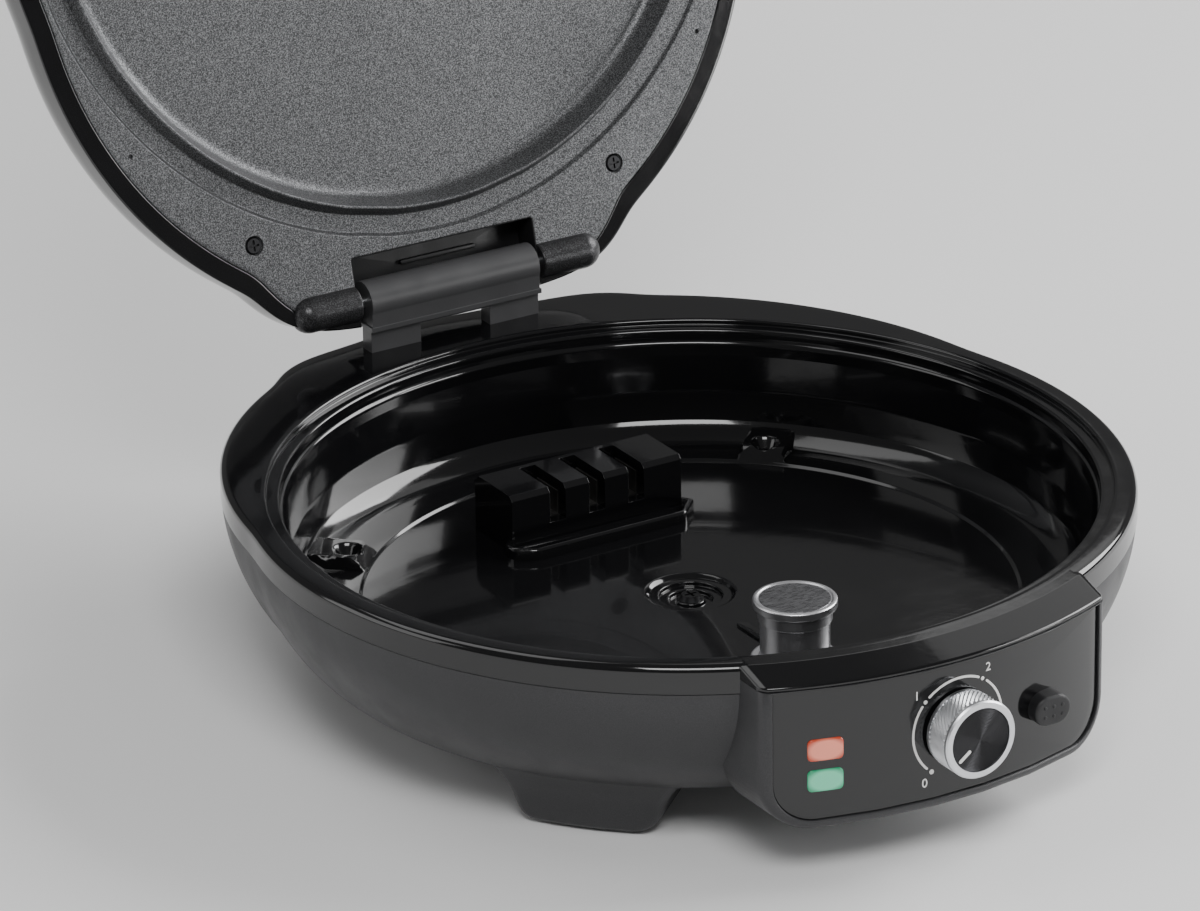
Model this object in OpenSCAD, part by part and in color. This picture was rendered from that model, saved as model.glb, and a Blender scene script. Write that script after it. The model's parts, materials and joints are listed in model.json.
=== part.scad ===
// Electric pizza maker with a hinged lid, shown open with its removable pan taken out.
// X runs across, Y from the control panel (-Y) to the hinge (+Y), Z up from the table.
// The origin is the centre of the round base, on the table.

/* [Base] */
// Radius of the round front of the base at its rim
rim_r = 180.5; // [176:0.5:190]
// Radius of the wider rear of the base
rear_r = 173.7; // [170:0.1:180]
// How far the centre of the wider rear lies behind the base's centre
rear_shift = 33; // [28:0.5:38]
// Half width of the block that carries the hinge
ear_w = 99; // [94:0.5:103]
// Where that half width is measured, behind the base's centre
ear_y = 172; // [168:0.5:176]
// How fast the hinge block narrows towards the back
ear_taper = 0.5; // [0.3:0.05:0.7]
// Back face of the base, behind the base's centre
base_back = 201; // [200:0.5:206]
// Height of the rim above the table
base_h = 88; // [84:1:96]
// Height of the gloss band under the rim
band_h = 12; // [8:1:16]
// Radius of the rim's outer edge
rim_round = 5; // [3:0.5:7]
// Wall of the upper housing
upper_wall = 3; // [2.4:0.1:3.6]
// Wall of the lower housing
lower_wall = 3.2; // [2.6:0.1:3.8]
// How far the skirt draws in from the band to the underside
skirt_in = 38; // [30:1:42]
// Roundness of the skirt
skirt_power = 1.73; // [1.4:0.01:2.2]

/* [Feet] */
// Height of the underside above the table
under_h = 20; // [16:0.5:24]
// Thickness of rubber that shows below a foot
pad_show = 1.2; // [0.8:0.1:2]
// Radius of a rubber pad
pad_r = 9; // [6:0.5:10]
// Depth of the pad's seat in the foot
pad_seat = 2; // [1:0.5:3]
// Half width of a foot at its sole
foot_w = 29; // [24:1:32]
// Extra half width where a foot flares into the skirt
foot_flare = 15; // [10:1:16]
// Rounding of a foot's lower corners
foot_round = 7; // [4:1:10]
// Outer radius of a front foot's sole
foot_r = 149; // [145:0.5:151]
// Depth of a foot, front to back
foot_d = 36; // [28:1:40]
// Angle of the front feet away from the front
foot_angle = 48.5; // [46:0.5:52]
// Sideways place of the rear feet
rear_foot_x = 62; // [50:1:66]
// Outer face of the rear feet behind the centre
rear_foot_y = 165; // [160:1:168]

/* [Bowl] */
// Radius of the groove at the inner edge of the rim
groove_r = 171; // [169:0.5:172]
// Depth of the ledge that carries the pan
ledge_drop = 2.5; // [1.5:0.5:4]
// Radius of the bowl's mouth inside the ledge
mouth_r = 165.5; // [163:0.5:167]
// Radius of the bowl's wall where its floor fillet starts
wall_r = 161; // [158:0.5:162]
// Depth of the bowl's floor below the rim
bowl_depth = 50; // [46:1:52]
// Fillet between the bowl's wall and its floor
bowl_round = 22; // [16:1:26]
// Height of the step ring round the floor
ring_step = 1; // [0.5:0.1:1.5]
// Radius of the step ring
ring_r = 134; // [130:1:137]
// Distance of the screw bosses from the centre
boss_r = 144; // [142:1:145]
// Height of a screw boss above the floor
boss_h = 6; // [4:0.5:7]
// Width of a screw boss
boss_w = 21; // [18:0.5:24]
// Radius of the funnel in a screw boss
funnel_r = 6.5; // [5:0.5:8]
// Radius of the stepped well in the middle of the floor
well_r = 17; // [14:0.5:20]
// Depth of each step of the well
well_step = 1.6; // [1:0.1:2]

/* [Pan socket] */
// Width of the socket block that feeds the pan
socket_w = 82; // [78:1:88]
// Front face of the block behind the centre
socket_y = 72; // [68:1:76]
// Depth of the block, front to back
socket_d = 30; // [28:1:34]
// Height of the block above the bowl's floor
socket_h = 25; // [22:1:28]
// Distance between the block's slots
slot_pitch = 19; // [17:0.5:21]
// Width of a slot
slot_w = 7.4; // [6:0.2:8]
// Length of a slot
slot_l = 24.5; // [20:0.5:26]
// Depth of a slot
slot_d = 15.5; // [12:0.5:18]
// Thickness of a contact leaf
leaf_t = 0.5; // [0.4:0.1:0.8]
// Height of the step in front of the block
step_h = 5; // [3:0.5:6]

/* [Pan sensor] */
// Place of the sensor in front of the centre
sensor_y = 78; // [74:1:82]
// Radius of the sensor's cap
cap_r = 17; // [15:0.5:18]
// Thickness of the sensor's cap
cap_t = 3; // [2:0.5:4]
// Radius of the sleeve under the cap
sleeve_r = 15; // [13:0.5:15.5]
// Length of the sleeve under the cap
sleeve_l = 6; // [5:0.5:8]
// Height of the cap's top above the floor
sensor_h = 27; // [25:0.5:29]
// How far the sensor can be pressed down
sensor_travel = 3; // [2:0.5:3.5]
// Wall of the sensor's sleeves
sleeve_t = 0.8; // [0.6:0.1:1]

/* [Control panel] */
// Radius of the panel's curved face
panel_r = 193.5; // [192:0.5:197]
// Half width of the gloss fascia
fascia_w = 75.5; // [72:0.5:78]
// Bottom of the fascia above the table
fascia_z = 26.5; // [24:0.5:30]
// Rounding of the fascia's lower corners
fascia_round = 16; // [12:1:20]
// Thickness of the fascia
fascia_t = 1.6; // [1.2:0.1:2]
// Width of the frame round the fascia
frame_w = 4; // [3:0.5:6]
// How far the frame stands proud of the fascia
frame_proud = 1; // [0.5:0.1:1.6]
// Bottom of the brow that covers the panel box, below the rim
brow_drop = 6; // [5:0.5:8]
// Height of the fascia's top edge below the rim
fascia_drop = 4; // [3:0.5:4.5]

/* [Knob] */
// Height of the knob's axis above the table
knob_z = 54.5; // [52:0.5:57]
// Radius of the knob
knob_r = 16; // [14:0.5:18]
// Length of the knob
knob_l = 14; // [12:0.5:17]
// Gap between the knob and the fascia
knob_gap = 1; // [0.6:0.1:2]
// Width of the bright ring round the knob's face
knob_ring = 2.8; // [2:0.2:4]
// Depth of the black disc in the knob's face
disc_t = 1.2; // [0.8:0.1:2]
// Number of diamonds round the knob
knurl_n = 48; // [36:2:60]
// Rows of diamonds along the knob
knurl_rows = 5; // [4:1:7]
// Height of a diamond
knurl_h = 0.55; // [0.3:0.05:0.8]
// Radius of the control shaft
shaft_r = 3; // [2.5:0.25:3.5]
// Radial running clearance of the shaft and the hinge pin
run_gap = 0.08; // [0.05:0.01:0.1]
// Length of the control's body
control_l = 12; // [9:1:13]
// Radius of the control's body
control_r = 13; // [11:1:15]

/* [Lamps] */
// Angle of the lamps round from the front
lamp_angle = 16.8; // [15:0.2:18]
// Height of the upper lamp above the table
lamp_z = 56; // [54:0.5:58]
// Distance from the upper to the lower lamp
lamp_pitch = 12.9; // [12:0.1:14]
// Width of a lamp's lens
lens_w = 14.4; // [12:0.2:16]
// Height of a lamp's lens
lens_h = 9.2; // [8:0.2:10]
// Rounding of a lens's corners
lens_round = 2; // [1:0.2:3]
// How far a lens stands out of the fascia
lens_proud = 0.7; // [0.3:0.1:1]

/* [Push button] */
// Sideways place of the push button
button_x = 42.5; // [41:0.5:46]
// Height of the push button's axis above the table
button_z = 51; // [49:0.5:53]
// Width of the push button
button_w = 16.5; // [15:0.5:18]
// Height of the push button
button_h = 12.3; // [11:0.5:13]
// How far the push button stands out of the fascia
button_proud = 7.5; // [6:0.5:9]
// Travel of the push button
button_travel = 3; // [2:0.5:3.5]
// Clearance round a part that slides in a hole
slide_gap = 0.3; // [0.2:0.05:0.4]

/* [Hinge] */
// Hinge axis behind the base's centre
hinge_y = 193; // [192:0.5:194]
// Hinge axis above the rim with the hinge raised
hinge_rise = 20.8; // [20.5:0.1:23]
// How far the hinge can sink as the lid is closed
float_travel = 4.5; // [3.5:0.5:4.5]
// Radius of the hinge barrel
barrel_r = 9; // [8:0.25:9.5]
// Half width of the hinge barrel
barrel_w = 41; // [38:0.5:43]
// Radius of the hinge pin
pin_r = 2.5; // [2:0.25:3]
// Half length of the hinge pin
pin_l = 70; // [66:1:73]
// Half width of the gap between the hinge's legs
leg_gap = 17; // [14:0.5:19]
// Thickness of the legs
leg_t = 7.5; // [6:0.5:7.5]
// Length of the legs below the hinge axis
leg_l = 40; // [34:1:42]
// Thickness of the ledge above the legs
ledge_t = 2; // [1.5:0.5:2.5]
// Front face of the legs in front of the hinge axis
leg_front = 7; // [6.5:0.25:7.5]

/* [Lid] */
// Angle by which the lid stands open
lid_open = 104.5; // [100:0.5:106]
// Cooking face below the hinge axis when the lid is shut
face_drop = 2; // [1:0.5:3]
// Height of the lid's dome
dome_h = 44; // [38:1:50]
// How far the dome's edge draws in
dome_in = 62; // [50:1:70]
// Roundness of the dome's edge
dome_power = 2.3; // [1.8:0.1:3]
// Crown of the dome's top
dome_crown = 3; // [1:0.5:5]
// Wall of the lid's shell
lid_wall = 2.2; // [2:0.1:2.6]
// Back of the lid behind the hinge axis
lid_heel = 10.5; // [10.2:0.1:10.8]
// Inset of the cooking plate from the lid's edge
plate_inset = 8.5; // [7.5:0.5:10]
// Thickness of the cooking plate
plate_t = 2; // [1.8:0.1:3]
// Clearance round the cooking plate
plate_gap = 0.3; // [0.2:0.1:0.5]
// Radius of the crest of the ridge round the cooking disc
bead_r = 157.6; // [156.8:0.1:158]
// How far the ridge stands proud of the plate's face
bead_h = 3.2; // [2:0.1:4]
// Radius of the flat cooking disc
disc_r = 149; // [146:0.5:149.5]
// Depth of the cooking disc below the plate's face
disc_drop = 7.7; // [6:0.1:8]
// Radius of the step round the gutter outside the ridge
step_r = 169; // [168.6:0.1:169.4]
// Depth of that gutter
gutter_drop = 2.1; // [1:0.1:2.2]
// Half width of the notch that clears the hinge
notch_w = 44.1; // [43:0.5:46]
// Depth of that notch in front of the hinge axis
notch_v = 19.2; // [17:0.5:21]
// Depth of the pocket behind that notch
pocket_h = 12; // [11.5:0.5:14]
// Half width from boss end to boss end on the plate
boss_end = 75; // [73:0.5:76]
// Radius of the plate's pin bosses
pin_boss_r = 7.8; // [7:0.1:8]
// Sideways place of the rear plate screws
plate_screw_x = 88.1; // [86:0.5:90]
// Place of the rear plate screws in front of the hinge axis
plate_screw_v = 34.1; // [32:0.5:36]

/* [Heater] */
// Radius of the heating tube's loop
heater_r = 118; // [100:1:130]
// Radius of the heating tube
tube_r = 3; // [2.5:0.25:3.5]
// Angle left open between the heater's ends
heater_open = 24; // [16:1:40]

/* [Handle] */
// Half width of the lid's handle
handle_w = 62; // [50:1:70]
// Reach of the handle beyond the lid's edge
handle_reach = 44; // [38:1:52]
// Thickness of the handle's grip
handle_t = 16; // [13:0.5:20]
// Depth of the handle's grip, front to back
handle_d = 18; // [14:0.5:22]

/* [Cord entry] */
// Radius of the hole through the cord gland
cord_r = 3.6; // [3:0.1:4.5]
// Length of the cord gland
gland_l = 18; // [14:1:22]
// Sideways place of the cord gland
gland_x = -60; // [-70:1:-50]
// Height of the cord gland above the table
gland_z = 45; // [40:1:50]

/* [Hidden] */
$fn = 96;
eps = 0.01;
// Where the other heights follow from
seam_z = base_h - band_h;
floor_z = base_h - bowl_depth;
under_in = floor_z - upper_wall;
sole_z = pad_show;
hinge_z = base_h + hinge_rise;
ear_power = 14;

// Plan of the base and the lid: a round front, a wider rear and a block for the hinge.
function corner_min(a, b) = pow(pow(a, -ear_power) + pow(b, -ear_power), -1 / ear_power);
function plan_r(a, off, back) =
    let (s = sin(a), c = abs(cos(a)))
    let (round_rear = s > 0
        ? rear_shift * s + sqrt(pow(rear_r + off, 2) - pow(rear_shift * c, 2)) : 0)
    let (side = (ear_w + off + ear_taper * ear_y) / (c + ear_taper * max(s, 0)))
    let (ear = s > 0.3 ? corner_min(side, back / s) : 0)
    max(rim_r + off, round_rear, ear);
// Directions of the plan's points, closer together round the hinge block
plan_angles = concat(
    [for (a = [-218:4:38]) a], [for (a = [42:3:54]) a], [for (a = [56:2:76]) a],
    [for (a = [80:4:100]) a], [for (a = [104:2:124]) a], [for (a = [126:3:138]) a]);
function plan_ring(off, back, z) =
    [for (a = plan_angles) let (r = plan_r(a, off, back)) [r * cos(a), r * sin(a), z]];
function plan_2d(off, back) =
    [for (p = plan_ring(off, back, 0)) [p[0], p[1]]];

// Skins a stack of rings, each with the same number of points, and caps both ends.
module loft(rings) {
    n = len(rings[0]);
    m = len(rings);
    polyhedron(
        points = [for (ring = rings) each ring],
        faces = concat(
            [[for (j = [0:n - 1]) j]],
            [[for (j = [0:n - 1]) m * n - 1 - j]],
            [for (i = [0:m - 2], j = [0:n - 1])
                [i * n + j, (i + 1) * n + j, (i + 1) * n + (j + 1) % n]],
            [for (i = [0:m - 2], j = [0:n - 1])
                [i * n + j, (i + 1) * n + (j + 1) % n, i * n + (j + 1) % n]]));
}

// Points of an arc about a centre
function arc(cx, cy, r, a0, a1, n = 8) =
    [for (i = [0:n]) let (a = a0 + (a1 - a0) * i / n) [cx + r * cos(a), cy + r * sin(a)]];

// A rectangle with four round corners
function round_rect(w, h, r) = concat(
    arc(w / 2 - r, h / 2 - r, r, 0, 90, 6), arc(-w / 2 + r, h / 2 - r, r, 90, 180, 6),
    arc(-w / 2 + r, -h / 2 + r, r, 180, 270, 6), arc(w / 2 - r, -h / 2 + r, r, 270, 360, 6));

// Lifts an outline drawn in the XZ plane towards the front, from y0 to y1
module forward(y0, y1) {
    translate([0, -y0, 0]) rotate([90, 0, 0]) linear_extrude(height = y1 - y0) children();
}

// A ring about the Z axis
module ring(r0, r1, z0, z1) {
    translate([0, 0, z0])
        rotate_extrude() translate([r0, 0]) square([r1 - r0, z1 - z0]);
}

// A rod between two points, longer by "more" at each end
module rod(a, b, r, more = 0) {
    d = b - a;
    translate(a - d * more / norm(d)) rotate([0, acos(d[2] / norm(d)), atan2(d[1], d[0])])
        cylinder(r = r, h = norm(d) + 2 * more, $fn = 48);
}

// A wire through a list of points; its straight lengths run into each other at the bends
module wire(points, r) {
    for (i = [0:len(points) - 2]) rod(points[i], points[i + 1], r - 0.04 * (i % 2), r * 0.7);
}

// A helical spring wire about the Z axis, from z0 to z1
module coil(r, wire_r, z0, z1, turns) {
    steps = 10;
    n = steps * turns;
    sides = 6;
    loft([for (i = [0:n]) let (a = 360 * i / steps, z = z0 + (z1 - z0) * i / n)
        [for (k = [0:sides - 1]) let (b = -360 * k / sides, q = r + wire_r * cos(b))
            [q * cos(a), q * sin(a), z + wire_r * sin(b)]]]);
}

// A screw with a cross recess, head upwards, its head resting at z = 0
module screw(head_r, head_h, r, l) {
    difference() {
        union() {
            cylinder(r1 = head_r, r2 = head_r * 0.8, h = head_h, $fn = 32);
            translate([0, 0, -l]) cylinder(r = r, h = l + eps, $fn = 24);
        }
        for (a = [0, 90]) rotate([0, 0, a])
            translate([-head_r * 0.6, -head_r * 0.11, head_h * 0.35])
                cube([head_r * 1.2, head_r * 0.22, head_h]);
    }
}

// Skirt: a superellipse from the seam down to the underside
function skirt_rings(inset, bottom, last = 0) =
    [for (i = [8:-1:last]) let (t = 90 * i / 8)
        plan_ring(-skirt_in * (1 - pow(max(cos(t), 0), 2 / skirt_power)) - inset,
            base_back - skirt_in * (1 - pow(max(cos(t), 0), 2 / skirt_power)) - inset,
            seam_z - (seam_z - bottom) * pow(sin(t), 2 / skirt_power))];

// A foot's outline across its face: round lower corners and a flare into the skirt
foot_top = under_h + 8;
function foot_side(s) = [for (i = [0:10]) let (t = i / 10, z = t * foot_top)
    [s * (foot_w + foot_flare * pow(t, 2)
        - (z < foot_round ? foot_round - sqrt(pow(foot_round, 2) - pow(foot_round - z, 2)) : 0)),
        sole_z + z]];
function foot_outline() = concat(foot_side(1), [for (i = [10:-1:0]) foot_side(-1)[i]]);
// A foot's profile, front to back
function foot_profile(r) = [[r - foot_d, sole_z], [r - 2, sole_z], [r, sole_z + 2],
    [r + 1.5, under_h * 0.7], [r + 4.5, under_h + 3], [r + 7, under_h + 8],
    [r - foot_d - 8, under_h + 8], [r - foot_d - 8, under_h], [r - foot_d - 3, under_h * 0.7]];
front_foot_at = [for (s = [-1, 1]) -90 + s * foot_angle];
module front_foot() {
    intersection() {
        rotate([0, 0, -25]) rotate_extrude(angle = 50) polygon(foot_profile(foot_r));
        rotate([0, 0, 90]) forward(foot_r - foot_d - 10, foot_r + 10) polygon(foot_outline());
    }
}
module rear_foot() {
    intersection() {
        translate([-foot_w - foot_flare, 0, 0]) rotate([90, 0, 90])
            linear_extrude(height = 2 * (foot_w + foot_flare))
                polygon(foot_profile(rear_foot_y));
        rotate([0, 0, 180]) forward(rear_foot_y - foot_d - 10, rear_foot_y + 10)
            polygon(foot_outline());
    }
}
pad_in = foot_d / 2;
pad_at = concat(
    [for (a = front_foot_at) [(foot_r - pad_in) * cos(a), (foot_r - pad_in) * sin(a), 0]],
    [for (s = [-1, 1]) [s * rear_foot_x, rear_foot_y - pad_in, 0]]);

// Panel box: its face is a wide arc, its lower corners are round
box_w = fascia_w + frame_w;
box_z = fascia_z - frame_w;
brow_z = base_h - brow_drop;
wall_face_r = panel_r - fascia_t;
panel_wall = 3;
function panel_outline(w, z0, z1, r) = concat(
    arc(w - r, z0 + r, r, -90, 0), [[w, z1], [-w, z1]], arc(-w + r, z0 + r, r, 180, 270));
module panel_block(r, w, z0, z1, corner) {
    intersection() {
        cylinder(r = r, h = base_h, $fn = 180);
        forward(110, r + 5) polygon(panel_outline(w, z0, z1, corner));
    }
}
fascia_top = base_h - fascia_drop;

// Places round the panel
lamps_z = [lamp_z, lamp_z - lamp_pitch];
module at_lamp(z) { rotate([0, 0, -lamp_angle]) translate([0, -panel_r, z]) rotate([90, 0, 0]) children(); }
button_face_y = -sqrt(pow(panel_r, 2) - pow(button_x, 2));
module button_shape(grow) {
    h = button_h / 2 + grow;
    polygon(concat(arc((button_w - button_h) / 2, 0, h, -90, 90, 12),
        arc(-(button_w - button_h) / 2, 0, h, 90, 270, 12)));
}
module panel_openings(grow) {
    for (z = lamps_z) at_lamp(z) translate([0, 0, -15]) linear_extrude(height = 25)
        polygon(round_rect(lens_w + 2 * grow, lens_h + 2 * grow, lens_round));
    translate([button_x, 0, button_z]) forward(170, 200) button_shape(slide_gap);
}
nut_r = 7;
bush_r = 5;

// Screws and where they stand
screw_r = 1.9;
screw_gap = 0.05;
boss_angles = [45, 135, 225, 315];

// The skirt's hollow goes straight up from its second ring
neck_in = lower_wall + skirt_in * (1 - pow(cos(90 / 8), 2 / skirt_power));
module lower_housing() color("#3c3d3f") {
    difference() {
        union() {
            loft(skirt_rings(0, under_h));
            panel_block(panel_r + frame_proud, box_w, box_z, brow_z, fascia_round + frame_w);
            for (a = front_foot_at) rotate([0, 0, a]) front_foot();
            for (s = [-1, 1]) translate([s * rear_foot_x, 0, 0]) rear_foot();
            // Flat seat for the cord gland
            translate([gland_x, base_back - 30, gland_z]) rotate([-90, 0, 0])
                cylinder(r = gland_r + 4, h = 30 - 4);
        }
        difference() {
            loft(concat(skirt_rings(lower_wall, under_h + lower_wall, 1),
                [plan_ring(-neck_in, base_back - neck_in, base_h)]));
            // Posts that the upper housing stands on
            for (a = boss_angles) rotate([0, 0, a]) translate([boss_r, 0, 0])
                cylinder(r = 7, h = under_in);
            cylinder(r = 9, h = under_in - 3 * well_step);
        }
        // Room for the gloss band, which stands inside the panel box
        intersection() {
            translate([0, 0, seam_z]) cylinder(r = rim_r + 0.2, h = base_h);
            translate([-box_w - 5, -rim_r - 20, 0]) cube([2 * box_w + 10, 80, 2 * base_h]);
        }
        // Hollow of the panel box
        panel_block(wall_face_r - panel_wall, box_w - panel_wall, box_z + panel_wall,
            base_h, fascia_round + frame_w - panel_wall);
        // Seat of the fascia
        difference() {
            panel_block(panel_r + 5, fascia_w, fascia_z, base_h, fascia_round);
            cylinder(r = wall_face_r, h = base_h, $fn = 180);
        }
        panel_openings(0.4);
        forward_hole(bush_r + run_gap, knob_z);
        for (p = pad_at) translate(p) cylinder(r = pad_r + 0.2, h = sole_z + pad_seat);
        for (a = boss_angles) rotate([0, 0, a]) translate([boss_r, 0, 0]) {
            translate([0, 0, under_h + 3]) cylinder(r = screw_r + screw_gap, h = base_h);
        }
        translate([0, 0, under_h + 3]) cylinder(r = screw_r + screw_gap, h = base_h);
        translate([gland_x, 0, gland_z]) rotate([-90, 0, 0]) cylinder(r = gland_r, h = 300);
    }
}
// A round hole through the panel's wall on the knob's axis
module forward_hole(r, z) {
    translate([0, -140, z]) rotate([90, 0, 0]) cylinder(r = r, h = 80);
}

// Bowl: wall, floor fillet and floor as one turned profile, inside or outside
function bowl_profile(t, top) = concat([[0, top], [mouth_r + t, top],
    [mouth_r + t, base_h - ledge_drop - 3]],
    arc(wall_r - bowl_round, floor_z + bowl_round, bowl_round + t, 0, -90, 12),
    [[0, floor_z - t]]);
deck_slot_w = barrel_w - leg_gap;
leg_y0 = hinge_y - leg_front;
well_depth = 3 * well_step;
module wedge_boss() {
    // A square boss whose outer side runs into the bowl's wall
    translate([boss_r, 0, floor_z - eps]) intersection() {
        translate([-boss_w / 2, -boss_w / 2, 0]) cube([boss_w + 4, boss_w, boss_h]);
        rotate([90, 0, 0]) translate([0, 0, -boss_w])
            linear_extrude(height = 2 * boss_w)
                polygon([[-boss_w / 2, 0], [-boss_w / 2 + boss_h, boss_h], [40, boss_h], [40, 0]]);
    }
}
module step_2d(inset) {
    polygon([[-47 + inset, socket_y - 2], [-36 + inset / 2, socket_y - 12 + inset],
        [36 - inset / 2, socket_y - 12 + inset], [47 - inset, socket_y - 2],
        [42 - inset, socket_y + 5], [-42 + inset, socket_y + 5]]);
}
module upper_housing() color("#0b0b0c") {
    difference() {
        union() {
            // Rim, band and rear deck
            difference() {
                loft(concat([plan_ring(0, base_back, seam_z)],
                    [for (i = [0:4]) let (t = 90 * i / 4)
                        plan_ring(-rim_round * (1 - cos(t)), base_back - rim_round * (1 - cos(t)),
                            base_h - rim_round * (1 - sin(t)))]));
                translate([0, 0, -eps]) loft([
                    plan_ring(-upper_wall, base_back - upper_wall, seam_z),
                    plan_ring(-upper_wall, base_back - upper_wall, base_h - rim_round),
                    plan_ring(-upper_wall - 2, base_back - upper_wall - 2, base_h - upper_wall)]);
            }
            rotate_extrude($fn = 144) polygon(bowl_profile(upper_wall, base_h - eps));
            // Ledge that the pan's flange hangs on
            ring(mouth_r, groove_r + 2, base_h - ledge_drop - upper_wall, base_h - 1);
            // Bosses for the screws of the hinge guide
            for (p = guide_screw_at) translate([p[0], p[1], tab_z]) cylinder(r = 4, h = base_h - 2 - tab_z);
            // Outside of the centre well
            translate([0, 0, floor_z - upper_wall - well_depth])
                cylinder(r = well_r + upper_wall, h = well_depth + upper_wall);
            // Brow over the control panel
            intersection() {
                rotate([0, 0, -120]) rotate_extrude(angle = 60, $fn = 180)
                    polygon([[rim_r - 4, brow_z], [panel_r + frame_proud, brow_z],
                        [panel_r + frame_proud, fascia_top], [rim_r, base_h - 0.6],
                        [rim_r - 4, base_h - 0.6]]);
                forward(100, 210) translate([-box_w, 0]) square([2 * box_w, base_h]);
            }
        }
        difference() {
            union() {
                rotate_extrude($fn = 144) polygon(bowl_profile(0, base_h + 1));
                ring(0, groove_r, base_h - ledge_drop, base_h + 1);
                // Centre well, three steps down
                for (i = [0:2]) translate([0, 0, floor_z - (i + 1) * well_step])
                    cylinder(r = well_r - 4 * i, h = 10);
            }
            // What stands on the floor
            intersection() {
                union() {
                    for (a = boss_angles) rotate([0, 0, a]) wedge_boss();
                    translate([0, 0, floor_z - eps]) linear_extrude(height = step_h)
                        step_2d(0);
                    ring(ring_r, wall_r, floor_z - eps, floor_z + ring_step);
                    translate([0, 0, floor_z - well_depth - eps])
                        cylinder(r = 6, h = well_step);
                    translate([-2.5, -60, floor_z - eps]) cube([5, 22, 1.2]);
                }
                rotate_extrude($fn = 144) polygon(bowl_profile(1, base_h + 1));
            }
        }
        // Seat of the socket block
        translate([-socket_w / 2 - 0.1, socket_y - 0.1, floor_z]) cube([socket_w + 0.2, socket_d + 0.2, 30]);
        // Hollow of the step in front of the socket block
        translate([0, 0, floor_z + step_h - 1.2]) linear_extrude(height = 2) step_2d(3);
        for (a = boss_angles) rotate([0, 0, a]) translate([boss_r, 0, 0]) {
            translate([0, 0, floor_z + boss_h - 6])
                cylinder(r1 = funnel_r * 0.5, r2 = funnel_r, h = 6 + eps);
            translate([0, 0, under_in - 1]) cylinder(r = 2.1, h = 20);
        }
        cylinder(r = 2.1, h = floor_z);
        for (p = guide_screw_at) translate([p[0], p[1], 0]) cylinder(r = 1.55, h = base_h - 2);
        // Slots in the rear deck for the hinge's legs
        for (s = [-1, 1]) translate([s * (leg_gap + barrel_w) / 2, leg_y0 + leg_t / 2, base_h - 10])
            linear_extrude(height = 20)
                square([deck_slot_w + 2 * slide_gap, leg_t + 2 * slide_gap], center = true);
        // Way through the floor for the sensor's lead and the socket's leads
        translate([0, -sensor_y, 0]) cylinder(r = 4, h = floor_z + 3);
        translate([-socket_w / 2 + 6, socket_y + 6, 0]) cube([socket_w - 12, socket_d - 12, floor_z + 3]);
    }
}

module foot_pads() color("#161616")
    for (p = pad_at) translate(p) cylinder(r = pad_r, h = sole_z + pad_seat - eps);

module bowl_screws() color("#26272a") {
    for (a = boss_angles) rotate([0, 0, a]) translate([boss_r, 0, floor_z + boss_h - 6])
        screw(3, 2, screw_r, 12);
    translate([0, 0, floor_z - well_depth + well_step]) screw(4.6, 2.2, screw_r, 8);
}

module fascia() color("#08080a") difference() {
    panel_block(panel_r, fascia_w - 0.15, fascia_z + 0.15, brow_z - 0.1, fascia_round);
    cylinder(r = wall_face_r + eps, h = base_h, $fn = 180);
    panel_openings(0.15);
    forward_hole(nut_r + 0.5, knob_z);
}

module lens(z) {
    at_lamp(z) {
        translate([0, 0, -fascia_t - panel_wall]) linear_extrude(height = fascia_t + panel_wall + lens_proud - 0.4)
            polygon(round_rect(lens_w, lens_h, lens_round));
        translate([0, 0, lens_proud - 0.4 - eps]) linear_extrude(height = 0.4)
            polygon(round_rect(lens_w - 1, lens_h - 1, lens_round));
        // Flange behind the panel's wall
        translate([0, 0, -fascia_t - panel_wall - 1.7]) linear_extrude(height = 1.2 + eps)
            polygon(round_rect(lens_w + 4, lens_h + 2, lens_round));
        translate([0, 0, -fascia_t - panel_wall - 0.6]) linear_extrude(height = 1)
            polygon(round_rect(lens_w, lens_h, lens_round));
    }
}
module power_lens() color("#c8512f") lens(lamps_z[0]);
module ready_lens() color("#2fb57c") lens(lamps_z[1]);

board_back = 14;
module lamp_board() color("#2f5d3a") rotate([0, 0, -lamp_angle]) {
    difference() {
        translate([-11, -panel_r + board_back, lamps_z[1] - 9])
            cube([22, 1.6, lamp_pitch + 18]);
        for (z = lamps_z) translate([0, -panel_r + 30, z]) rotate([90, 0, 0])
            cylinder(r = 0.6, h = 40, $fn = 16);
    }
    // Feet of the board, against the panel's wall
    for (s = [-1, 1]) translate([s * 9 - 1, -panel_r + fascia_t + panel_wall + 0.4, lamps_z[1] - 9])
        cube([2, board_back - fascia_t - panel_wall - 0.4, 3]);
}
module indicator_lamps() color("#e7d3b0") for (z = lamps_z) rotate([0, 0, -lamp_angle]) {
    translate([0, -panel_r + board_back, z]) rotate([90, 0, 0]) {
        cylinder(r = 2.2, h = 4, $fn = 32);
        translate([0, 0, 4]) sphere(r = 2.2, $fn = 32);
    }
}

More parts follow.
